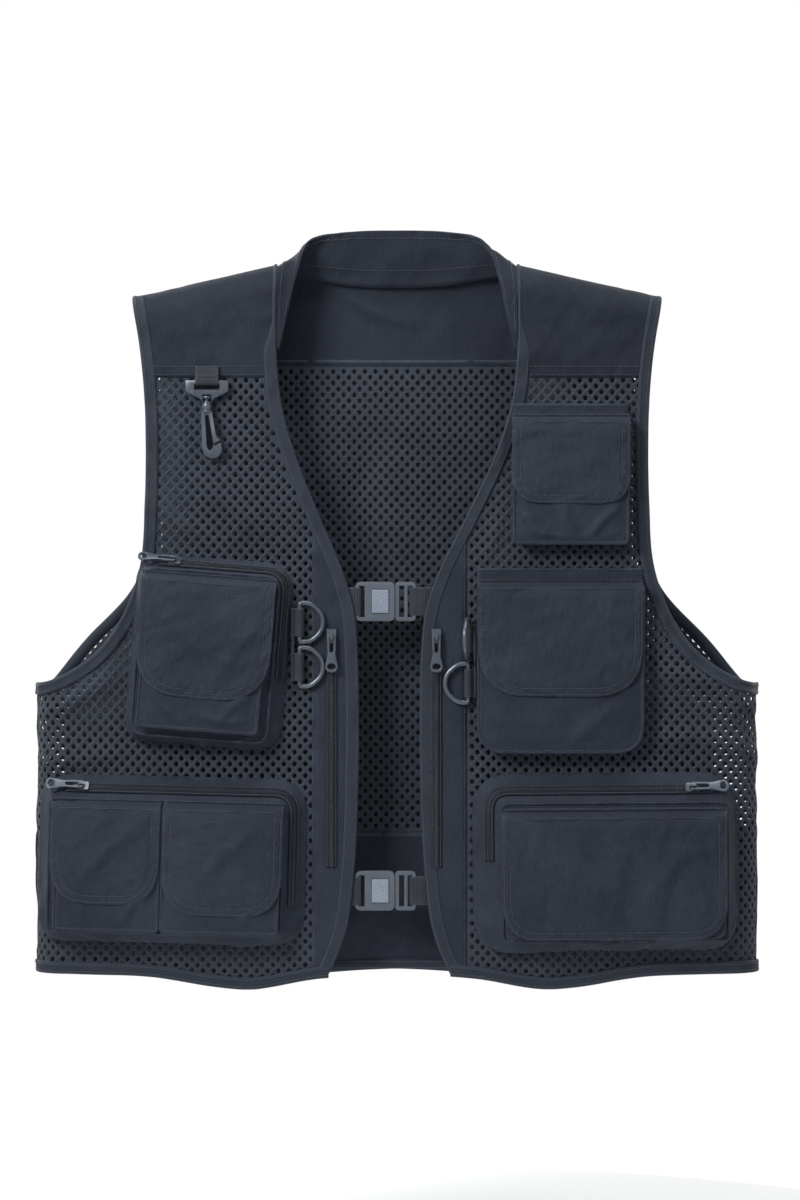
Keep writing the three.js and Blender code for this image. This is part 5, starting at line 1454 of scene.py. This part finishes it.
def zipped_pocket(name, joint, back, sag, plain, zip_side, zip_start, zip_drop, seed, tucks=()):
    """Bag and zip of one zipped pocket; returns its frame and the outline of its face."""
    place = pocket_place(f"{name}_body", back, joint)
    left_zip = zip_side < 0
    front = {"left": back["left"] + (sag if left_zip else plain), "top": back["top"] - sag,
             "right": back["right"] - (plain if left_zip else sag), "bottom": back["bottom"] + plain}
    zipped_bag(f"{name}_bag", f"{name}_body", place, back, front, seed, tucks)
    level = back["top"] - sag * ZIP_SHARE
    edge = (back["left"] if left_zip else back["right"]) - zip_side * sag * ZIP_SHARE
    corner = rounded_corner((edge, level - zip_drop), (edge, level), (zip_start, level), SEAM_RADIUS)
    path = np.vstack([[(edge, level - zip_drop)], corner, [(zip_start, level)]])
    if not left_zip:
        path = path[::-1]
    lean = math.atan2(sag, ZIPPED_DEPTH)
    zip_strip(f"{name}_zip", place, path, ZIPPED_DEPTH * ZIP_SHARE, lean,
              min(10, math.hypot(sag, ZIPPED_DEPTH) * 0.75))
    return place, front


def chest_pocket():
    """Zipped bag with a patch pocket and a flap, turned a little on the chest."""
    back = {"left": -68, "right": 66, "top": 80, "bottom": -80}
    place, _ = zipped_pocket("chest_pocket", "chest_flap_lift", back, 11, 5, 1, -50, 92, 41,
                             [(30, -76, 44, -60, 4, 1.8), (-60, -70, -50, -58, 4, 1.5)])
    sheet = {"left": -58, "right": 47, "top": 61, "bottom": -68}
    base = ZIPPED_DEPTH + 0.3
    patch_pocket("chest_patch", ("chest_patch_pocket",), place, sheet, base, PATCH_DEPTH, 6, 43, 2.8,
                 [(-50, -30, -20, -62, 4, 1.6), (38, -34, 12, -60, 4, 1.5), (-10, -52, 34, -58, 4, 1.2)])
    flap("chest_flap", place, -5, 64, ZIPPED_DEPTH, PATCH_DEPTH + 0.3, 116, 104, 44, 45,
         sheet, 2.8, 1.8, [(-50, 40, 20, -10, 7, 1.2), (44, 30, 10, -20, 6, 1.0)])


PANEL_INNER = OPENING_HALF + PLACKET_WIDTH + 6
LEFT_HALF = (OPENING_MIDDLE - PANEL_INNER + HALF_WIDTH - 5) / 2
RIGHT_HALF = (HALF_WIDTH - 20 - OPENING_MIDDLE - PANEL_INNER) / 2


def lower_left_pocket():
    """Zipped bag with two patch pockets, each under its own flap."""
    half = LEFT_HALF
    back = {"left": -half, "right": half, "top": 71, "bottom": -71}
    place, _ = zipped_pocket("lower_left_pocket", "lower_left_flap_inner_lift", back, 19, 8, 1,
                             -half + 22, 97, 51, [(-half + 8, 40, -half + 30, 50, 4, 1.6)])
    base = ZIPPED_DEPTH + 0.3
    left, right, divide = -half + 14, half - 21, -9
    for word, lo, hi, seed in (("outer", left, divide - 0.4, 53), ("inner", divide + 0.4, right, 57)):
        sheet = {"left": lo, "right": hi, "top": 46, "bottom": -62}
        patch_pocket(f"lower_left_patch_{word}", ("lower_left_patch_pockets",) if word == "outer" else (),
                     place, sheet, base, PATCH_DEPTH, 5, seed, 3.2,
                     [(lo + 8, -20, lo + 30, -56, 4, 1.4), (hi - 8, -24, hi - 34, -56, 4, 1.4)])
        x_middle, width, height = (((-half + 10 - 10) / 2, half - 20, 87) if word == "outer"
                                   else ((-8 + half - 19) / 2, half - 11, 95))
        flap(f"lower_left_flap_{word}", place, x_middle, 49, ZIPPED_DEPTH, PATCH_DEPTH + 0.3, width,
             height, 36, seed + 2, sheet, 3.2, 2.0,
             [(x_middle + 30, 30, x_middle - 20, -20, 6, 1.3),
              (x_middle - 34, 20, x_middle - 6, -34, 5, 0.9)])


def lower_right_pocket():
    """Wide zipped bag with one patch pocket and a wide flap."""
    half = RIGHT_HALF
    back = {"left": -half, "right": half, "top": 77, "bottom": -74}
    place, _ = zipped_pocket("lower_right_pocket", "lower_right_flap_lift", back, 24, 8, -1,
                             half - 24, 60, 61, [(half - 40, -66, half - 26, -50, 4, 1.8)])
    sheet = {"left": -half + 27, "right": half - 12, "top": 42, "bottom": -64}
    patch_pocket("lower_right_patch", ("lower_right_patch_pocket",), place, sheet, ZIPPED_DEPTH + 0.3,
                 PATCH_DEPTH, 8, 63, 3.0, [(-60, -50, -20, -60, 4, 1.2)])
    flap("lower_right_flap", place, 7, 45, ZIPPED_DEPTH, PATCH_DEPTH + 0.3, 2 * half - 33, 110, 34, 65,
         sheet, 3.0, 2.0, [(-70, 30, 10, -30, 9, 1.2), (80, 20, 30, -40, 8, 1.2)])


def plain_pocket(name, sheet, band, radius, flap_width, flap_height, flap_radius, seed, swell, creases):
    """Bellows pocket sewn straight on the netting, with a stitched band over its flap."""
    joint = f"{name}_flap_lift"
    place = pocket_place(f"{name}_pocket", sheet, joint)
    hinge = sheet["top"] - band
    mouth = {**sheet, "top": hinge - 3}
    patch_pocket(f"{name}_front", (f"{name}_pocket",), place, mouth, 1.2, FLAP_POCKET_DEPTH - 1.2, radius,
                 seed, swell, creases, base_gap=1.9)
    x, z = np.meshgrid(np.linspace(sheet["left"], sheet["right"], 60),
                       np.linspace(sheet["top"], mouth["top"] - 14, 26))
    edge = np.minimum(np.minimum(x - sheet["left"], sheet["right"] - x), sheet["top"] - z)
    lift = 1.4 + 0.25 * ripple(x, z, 22, seed + 5) - 0.7 * np.exp(-edge / 0.8)
    points = place.points(x, z, lift)
    made = build(f"{name}_band", points, facing(points, grid_faces(*x.shape), (0, -1, 0)), NYLON, "vest",
                 "nylon", np.stack([x, z], -1) * MM, np.exp(-edge / 1.8))
    thicken(made, 2.6)
    row = np.linspace(sheet["left"] + 2, sheet["right"] - 2, 70)
    for drop in (1.8, band - 4.4):
        sew("vest", place.points(row, sheet["top"] - drop, 1.45), (0, -1, 0))
    flap(f"{name}_flap", place, 0, hinge, 1.6, FLAP_POCKET_DEPTH - 1.4, flap_width, flap_height,
         flap_radius, seed + 7, mouth, swell, 1.8,
         [(-flap_width * 0.4, hinge - 16, 0, hinge - flap_height * 0.7, 7, 1.0)])


def pockets():
    """The three zipped pockets and the two plain ones."""
    chest_pocket()
    lower_left_pocket()
    lower_right_pocket()
    plain_pocket("upper_right", {"left": -50, "right": 50, "top": 61, "bottom": -61}, 12, 6, 102, 75, 26,
                 71, 3.4, [(-44, -30, -20, -56, 4, 2.0), (42, -28, 14, -56, 4, 2.2),
                           (-8, -28, 6, -58, 4, 1.6), (-30, -52, 30, -56, 4, 1.6)])
    plain_pocket("middle_right", {"left": -72, "right": 72, "top": 80, "bottom": -80}, 13, 26, 142, 98, 44,
                 81, 3.0, [(-60, -40, -20, -72, 6, 1.6), (56, -36, 10, -70, 6, 1.6)])


def placket_zips():
    """The long zip down each placket."""
    for word in ("left", "right"):
        low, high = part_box(f"placket_zip_{word}")
        across = (low[0] + high[0]) / 2 / MM
        path = [(across, high[2] / MM), (across, low[2] / MM)]
        zip_strip(f"placket_zip_{word}", Place((0, -HALF_DEPTH, 0)), path, 0.0, math.pi / 2, 10)

# ---------------------------------------------------------------- webbing

WEBBING_WALL = 1.6


def strip(name, path, across, width, thickness, body, nodes=(), material=None, slot="webbing"):
    """Woven strap carried along a path: its closed section is a flat oval whose selvedges are a
    little thicker than the middle. across is the direction of its width."""
    path = np.asarray(path, float)
    across = np.asarray(across, float)
    way = directions(path)
    up = np.cross(way, across)
    up /= np.linalg.norm(up, axis=1)[:, None]
    half, t = width / 2, thickness / 2
    a = np.array([-half, -half + 0.35, -half + 1.3, -half + 2.4, -half / 3, half / 3, half - 2.4,
                  half - 1.3, half - 0.35, half])
    n = np.array([0, 0.9, 1.08, 0.92, 0.96, 0.96, 0.92, 1.08, 0.9, 0]) * t
    a, n = np.concatenate([a, a[-2:0:-1]]), np.concatenate([n, -n[-2:0:-1]])
    points = path[:, None] + across * a[None, :, None] + up[:, None] * n[None, :, None]
    count, columns = points.shape[:2]
    faces = outward(points, grid_faces(count, columns, wrap=True))
    caps = [list(range(columns)), list(range((count - 1) * columns, count * columns))]
    run = lengths(path)
    uv = np.stack(np.broadcast_arrays(a[None], run[:, None]), -1) * MM
    worn = np.broadcast_to(np.exp(-(half - np.abs(a)) / 0.8), (count, columns))
    return build(name, points, faces.tolist() + caps, material or WEBBING, body, slot, uv, worn, nodes)


def flat_path(corners, steps=90):
    """Smooth path through corners given as across, forward and height."""
    curve = catmull(corners, steps)
    return spaced(np.stack([curve[:, 0], -curve[:, 1], curve[:, 2]], 1), steps)


RING_HEIGHT, RING_REACH, RING_WIRE = 37.5, 22, 4
LOOP_HEIGHT, LOOP_WALL = 25, 1.2


def ring_loops(word, way, names):
    """Webbing folded round each ring's bar and a doubled strip behind it, stitched together."""
    bars = [np.array(JOINTS[f"{name}_swing"]["pos_m"]) / MM for name in names]
    radius = RING_WIRE / 2 + 0.3 + LOOP_WALL / 2
    turn = np.radians(np.linspace(150, -90, 26))
    for k, bar in enumerate(bars):
        loop = [(-way * 7.0, -1.5), (-way * 5.4, -1.4), (-way * 4.0, -0.2)]
        loop += [(way * radius * math.cos(t), radius * math.sin(t)) for t in turn]
        loop += [(-way * 3.2, -2.95), (-way * 7.0, -2.95)]
        path = flat_path([(bar[0] + dx, -bar[1] + f, bar[2]) for dx, f in loop], 110)
        strip(f"ring_loop_{word}_{k + 1}", path, (0, 0, 1), LOOP_HEIGHT - 0.6, LOOP_WALL, "vest",
              (f"ring_webbing_{word}",) if k == 0 else ())
    top, low = (max(b[2] for b in bars) + LOOP_HEIGHT / 2, min(b[2] for b in bars) - LOOP_HEIGHT / 2)
    middle = (top + low) / 2
    edge = [(bars[0][0] - way * dx, -bars[0][1] - 0.2 - 0.2 * abs(dx - 5.9), middle)
            for dx in (7.4, 6.4, 5.4, 4.4)]
    strip(f"ring_strip_{word}", flat_path(edge, 12), (0, 0, 1), top - low, 1.2, "vest")
    z = np.linspace(low + 1, top - 1, 90)
    row = np.stack([np.full(90, bars[0][0] - way * 5.9), np.full(90, bars[0][1] - 0.55), z], 1)
    sew("vest", row, (0, -1, 0))


def d_ring(name, turn):
    """Bent wire ring: rounded corners joined by straights, swept with a round section and turned
    about its bar; a butt weld swells the bar a little."""
    wire = RING_WIRE / 2
    tall, far = RING_HEIGHT / 2 - wire, RING_REACH - wire
    corners = [(0, -tall), (0, tall), (far * 0.45, tall), (far, tall * 0.42), (far, -tall * 0.42),
               (far * 0.45, -tall)]
    radii = (2, 2, 5, 7, 7, 5)
    line = np.vstack([rounded_corner(corners[k - 1], corners[k], corners[(k + 1) % 6], radii[k], 9)
                      for k in range(6)])
    line = spaced(np.vstack([line, line[:1]]), 121)[:-1]
    way = directions(line, closed=True)
    side = np.stack([way[:, 1], -way[:, 0]], 1)
    a = np.linspace(0, 2 * math.pi, 18, endpoint=False)
    thick = wire * (1 + 0.05 * np.exp(-(line[:, 1] / 2.2) ** 2) * (line[:, 0] < 1))
    across = line[:, None, 0] + side[:, None, 0] * np.cos(a)[None] * thick[:, None]
    height = line[:, None, 1] + side[:, None, 1] * np.cos(a)[None] * thick[:, None]
    deep = np.broadcast_to(np.sin(a)[None] * thick[:, None], across.shape)
    c, s = math.cos(turn), math.sin(turn)
    bar = np.array(JOINTS[f"{name}_swing"]["pos_m"]) / MM
    points = bar + np.stack([across * c - deep * s, across * s + deep * c, height], -1)
    faces = grid_faces(len(line) + 1, len(a), wrap=True) % (len(line) * len(a))
    build(f"{name}_wire", points, outward(points, faces), GUNMETAL, name, "gunmetal", None, None, (name,))


def rings():
    """Two strips of webbing with two rings each."""
    ring_loops("left", 1, ("d_ring_left_upper", "d_ring_left_lower"))
    ring_loops("right", -1, ("d_ring_right_upper", "d_ring_right_lower"))
    d_ring("d_ring_left_upper", 0)
    d_ring("d_ring_left_lower", 0)
    d_ring("d_ring_right_upper", math.radians(260))
    d_ring("d_ring_right_lower", math.pi)


# ---------------------------------------------------------------- moulded and cast parts


def finished(node, material, edge=0.35, angle=32):
    """Copy of a machined node with its doubled points merged and every hard edge rounded."""
    source = frame["nodes"][node]
    work = bmesh.new()
    work.from_mesh(source.data)
    bmesh.ops.remove_doubles(work, verts=work.verts, dist=2e-6)
    bmesh.ops.dissolve_limit(work, angle_limit=math.radians(1.5), verts=work.verts, edges=work.edges)
    mesh = bpy.data.meshes.new(f"{node}_cast")
    work.to_mesh(mesh)
    work.free()
    mesh.materials.clear()
    mesh.materials.append(material)
    mesh.shade_smooth()
    made = bpy.data.objects.new(f"{node}_cast", mesh)
    bpy.context.scene.collection.objects.link(made)
    round_off = made.modifiers.new("round_off", "BEVEL")
    round_off.width, round_off.segments = edge * MM, 3
    round_off.limit_method, round_off.angle_limit = "ANGLE", math.radians(angle)
    round_off.harden_normals = True
    round_off.use_clamp_overlap = True
    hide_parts(node)
    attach(made, source["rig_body"])
    return made


def stamped(name, rims, thickness, edge, place, material, body, nodes=()):
    """Flat stamping: a filled curve of an outer rim and its holes, extruded and rounded. place
    turns its across, along and outward millimetres into world metres."""
    curve = bpy.data.curves.new(name, "CURVE")
    curve.dimensions, curve.fill_mode = "2D", "BOTH"
    curve.extrude, curve.bevel_depth, curve.bevel_resolution = thickness / 2 - edge, edge, 3
    curve.offset = -edge
    for rim in rims:
        spline = curve.splines.new("POLY")
        spline.points.add(len(rim) - 1)
        flat = np.zeros((len(rim), 4))
        flat[:, :2], flat[:, 3] = rim, 1
        spline.points.foreach_set("co", flat.ravel())
        spline.use_cyclic_u = True
    holder = bpy.data.objects.new(name + "_rim", curve)
    bpy.context.scene.collection.objects.link(holder)
    bpy.context.view_layer.update()
    mesh = bpy.data.meshes.new_from_object(holder.evaluated_get(bpy.context.evaluated_depsgraph_get()))
    bpy.data.objects.remove(holder)
    points = np.zeros(len(mesh.vertices) * 3)
    mesh.vertices.foreach_get("co", points)
    mesh.vertices.foreach_set("co", (place(points.reshape(-1, 3)) * MM).ravel())
    work = bmesh.new()
    work.from_mesh(mesh)
    bmesh.ops.remove_doubles(work, verts=work.verts, dist=1e-6)
    bmesh.ops.recalc_face_normals(work, faces=work.faces)
    work.to_mesh(mesh)
    work.free()
    mesh.name = name
    mesh.materials.clear()
    mesh.materials.append(material)
    mesh.shade_smooth()
    mesh.set_sharp_from_angle(angle=math.radians(40))
    made = bpy.data.objects.new(name, mesh)
    bpy.context.scene.collection.objects.link(made)
    if nodes:
        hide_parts(*nodes)
    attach(made, body)
    return made


def arc_points(middle, radii, start, end, steps=16):
    """Points on part of an ellipse, by angle in degrees."""
    t = np.radians(np.linspace(start, end, steps))
    return np.stack([middle[0] + radii[0] * np.cos(t), middle[1] + radii[1] * np.sin(t)], 1)


def zip_pull(prefix):
    """Slider, and a racket-shaped pull: a long slot for the bridge, a waist, and a round end with an oval
    eye."""
    finished(f"{prefix}_slider", GUNMETAL, 0.3)
    node = frame["nodes"][f"{prefix}_pull"]
    points = np.zeros(len(node.data.vertices) * 3)
    node.data.vertices.foreach_get("co", points)
    points = points.reshape(-1, 3) / MM
    joint = JOINTS[f"{prefix}_pull_swing"]
    pivot = np.array(joint["pos_m"]) / MM
    across = np.array(joint["axis"], float)
    run = np.array(JOINTS[f"{prefix}_slider_run"]["axis"], float)
    hang = points.mean(0) - pivot
    along = run * (1.0 if hang @ run > 0 else -1.0)
    out = np.cross(across, along)
    if out[1] > 0:
        out, across = -out, -across
    length = ((points - pivot) @ along).max()

    def place(local):
        return (pivot + local[:, :1] * across + local[:, 1:2] * along + local[:, 2:] * out)

    end, wide, neck = length - 5.6, 5.5, 3.7
    right = np.vstack([arc_points((neck - 1.6, 0.2), (1.6, 1.4), -90, 0, 8),
                       catmull([(neck, 1.6), (neck - 0.1, length * 0.3), (neck - 0.35, length * 0.5),
                                (wide - 0.6, end - 2.6), (wide, end + 0.6)], 24),
                       arc_points((0, end + 0.6), (wide, 5.0), 4, 90, 16)])
    rim = np.vstack([right, right[::-1] * [-1, 1]])
    slot = np.vstack([arc_points((0, 1.5), (1.75, 1.0), 180, 360),
                      arc_points((0, length * 0.4), (1.6, 1.6), 0, 180)])
    eye = arc_points((0, end + 0.5), (3.6, 2.75), 0, 360, 37)[:-1]
    stamped(f"{prefix}_pull_plate", [rim, slot, eye], 1.9, 0.35, place, GUNMETAL, f"{prefix}_pull",
            (f"{prefix}_pull",))


def buckle(word):
    """Centre-release buckle: rounded shells, a button with diamond dimples, a ribbed ladder bar,
    and webbing that wraps the end bar of each half and goes back to the cloth."""
    finished(f"buckle_{word}_female", ACETAL, 0.9, 40)
    finished(f"buckle_{word}_male", ACETAL, 0.7, 40)
    low, high = (np.array(c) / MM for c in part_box(f"buckle_{word}_button"))
    front = low[1]
    x0, x1, z0, z1 = low[0] + 1, high[0] - 1, low[2] + 1, high[2] - 1
    finished(f"buckle_{word}_button", BUTTON, 0.5, 40)
    x, z = np.meshgrid(np.linspace(x0 + 0.2, x1 - 0.2, 91), np.linspace(z1 - 0.2, z0 + 0.2, 127))
    across, up = (x - (x0 + x1) / 2) / 3.4, (z - (z0 + z1) / 2) / 3.0
    edge = np.minimum(np.minimum(x - x0, x1 - x), np.minimum(z - z0, z1 - z))

    def dimples(u, v):
        near = np.abs(u - np.round(u)) * 3.1 + np.abs(v - np.round(v)) * 2.9
        return np.clip(1 - near, 0, 1)

    pits = np.maximum(dimples(across, up), dimples(across + 0.5, up + 0.5)) * smoothstep(edge, 1.6, 2.2)
    lift = 0.35 + 0.25 * smoothstep(edge, 0.2, 1.4) - 0.55 * pits
    lift = np.where(edge < 0.25, -0.4, lift)
    points = np.stack([x, front - lift, z], -1)
    build(f"buckle_{word}_cap", points, facing(points, grid_faces(*x.shape), (0, -1, 0)), BUTTON,
          f"buckle_{word}_button", "buckle_button", None, None, (), 35)
    female, male = ([np.array(c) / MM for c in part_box(f"buckle_{word}_{part}")]
                    for part in ("female", "male"))
    middle = (female[0][2] + female[1][2]) / 2
    centre = -(female[0][1] + female[1][1]) / 2
    count = 12
    z = middle + (np.arange(count) - (count - 1) / 2) * 2.0
    bar_x = male[1][0] - 8.5
    place = np.stack([np.full(count, bar_x), np.full(count, male[0][1] + 0.1), z], 1)
    spindle_mesh(f"buckle_{word}_ribs", place, np.array([[1.0, 0, 0]]) * np.ones((count, 1)),
                 np.array([[0, -1.0, 0]]) * np.ones((count, 1)), np.full(count, 1.5), 0.42, 0.34, ACETAL,
                 f"buckle_{word}_tongue", "buckle_shell")
    halves = ((-1, "left", female[0][0] + 1.5, -female[0][1], "vest"),
              (1, "right", male[1][0] - 1.5, -male[0][1], f"buckle_{word}_tongue"))
    for side, hand, bar, face, body in halves:
        node = f"strap_{word}_{hand}"
        far = np.array(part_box(node)[0 if side < 0 else 1])[0] / MM
        cloth = -(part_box(node)[0][1] / MM + WEBBING_WALL / 2) - 0.5
        ahead = face - 0.3
        corners = [(far, cloth - 0.05), (bar + side * 14, cloth - 0.1),
                   (bar + side * 9, (cloth + ahead) / 2 + 0.3),
                   (bar + side * 3.6, ahead - 0.1), (bar, ahead + 0.1), (bar - side * 2.4, ahead - 0.2),
                   (bar - side * 3.1, (ahead + centre) / 2), (bar - side * 2.2, centre - 0.9),
                   (bar + side * 2, centre - 1.0), (bar + side * 9, (cloth + centre) / 2 - 1.4),
                   (bar + side * 14, cloth - 1.75), (bar + side * 24, cloth - 1.8)]
        path = flat_path([(a, f, middle) for a, f in corners], 130)
        strip(f"{node}_webbing", path, (0, 0, 1), 24.6, 1.3, body, (node,))


def hook():
    """Webbing tab from under the yoke, folded round the bar, and the cast base and swivel hook."""
    bar = np.array(JOINTS["hook_base_lift"]["pos_m"]) / MM
    forward, level = -bar[1], bar[2]
    radius = 1.5 + 0.75
    path = [(forward - 1.9, level + 14), (forward + 0.1, level + 7.5), (forward + radius * 0.98, level + 1.6)]
    path += [(forward + radius * math.cos(t), level + radius * math.sin(t))
             for t in np.radians(np.linspace(0, -180, 20))]
    path += [(forward - radius - 0.1, level + 3), (forward - radius - 0.6, level + 8),
             (forward - 3.2, level + 14)]
    curve = catmull([(0, f, z) for f, z in path], 110)
    line = spaced(np.stack([np.full(len(curve), bar[0]), -curve[:, 1], curve[:, 2]], 1), 110)
    strip("hook_tab", line, (1, 0, 0), 20, 1.2, "vest")
    row = np.linspace(bar[0] - 8.6, bar[0] + 8.6, 40)
    for up in (5.2, 6.6):
        depth = np.interp(level + up, line[::-1, 2][-40:], line[::-1, 1][-40:])
        across_tab = np.stack([row, np.full(40, depth - 0.7), np.full(40, level + up)], 1)
        sew("vest", across_tab, (0, -1, 0.3), pitch=2.2)
    finished("hook_base", GUNMETAL, 0.45)
    finished("swivel_hook", GUNMETAL, 0.6)
    a = np.linspace(0, 2 * math.pi, 26, endpoint=False)
    for side in (-1, 1):
        middle = bar + np.array([side * 12.4, -1.5, -8.6])
        head = []
        for r, lift in ((0.0, -0.15), (0.55, -0.15), (0.8, 0.3), (1.15, 0.42), (1.5, 0.25), (1.65, -0.4)):
            head.append(np.stack([middle[0] + r * np.cos(a), np.full(26, middle[1] - lift),
                                  middle[2] + r * np.sin(a)], 1))
        points = np.stack(head)
        build(f"hook_rivet_{'left' if side < 0 else 'right'}", points,
              facing(points, grid_faces(6, 26, wrap=True), (0, -1, 0)), GUNMETAL, "hook_base", "gunmetal")


def hardware():
    """Rings, buckles, hook and the zips' pulls."""
    rings()
    buckle("upper")
    buckle("lower")
    hook()
    for prefix in ("chest_pocket_zip", "lower_left_pocket_zip", "lower_right_pocket_zip",
                   "placket_zip_left", "placket_zip_right"):
        zip_pull(prefix)


camera()
studio()
floor()
body_shell()
armhole_bindings()
hem_tape()
collar()
back_panel()
pockets()
placket_zips()
hardware()
thread_work()
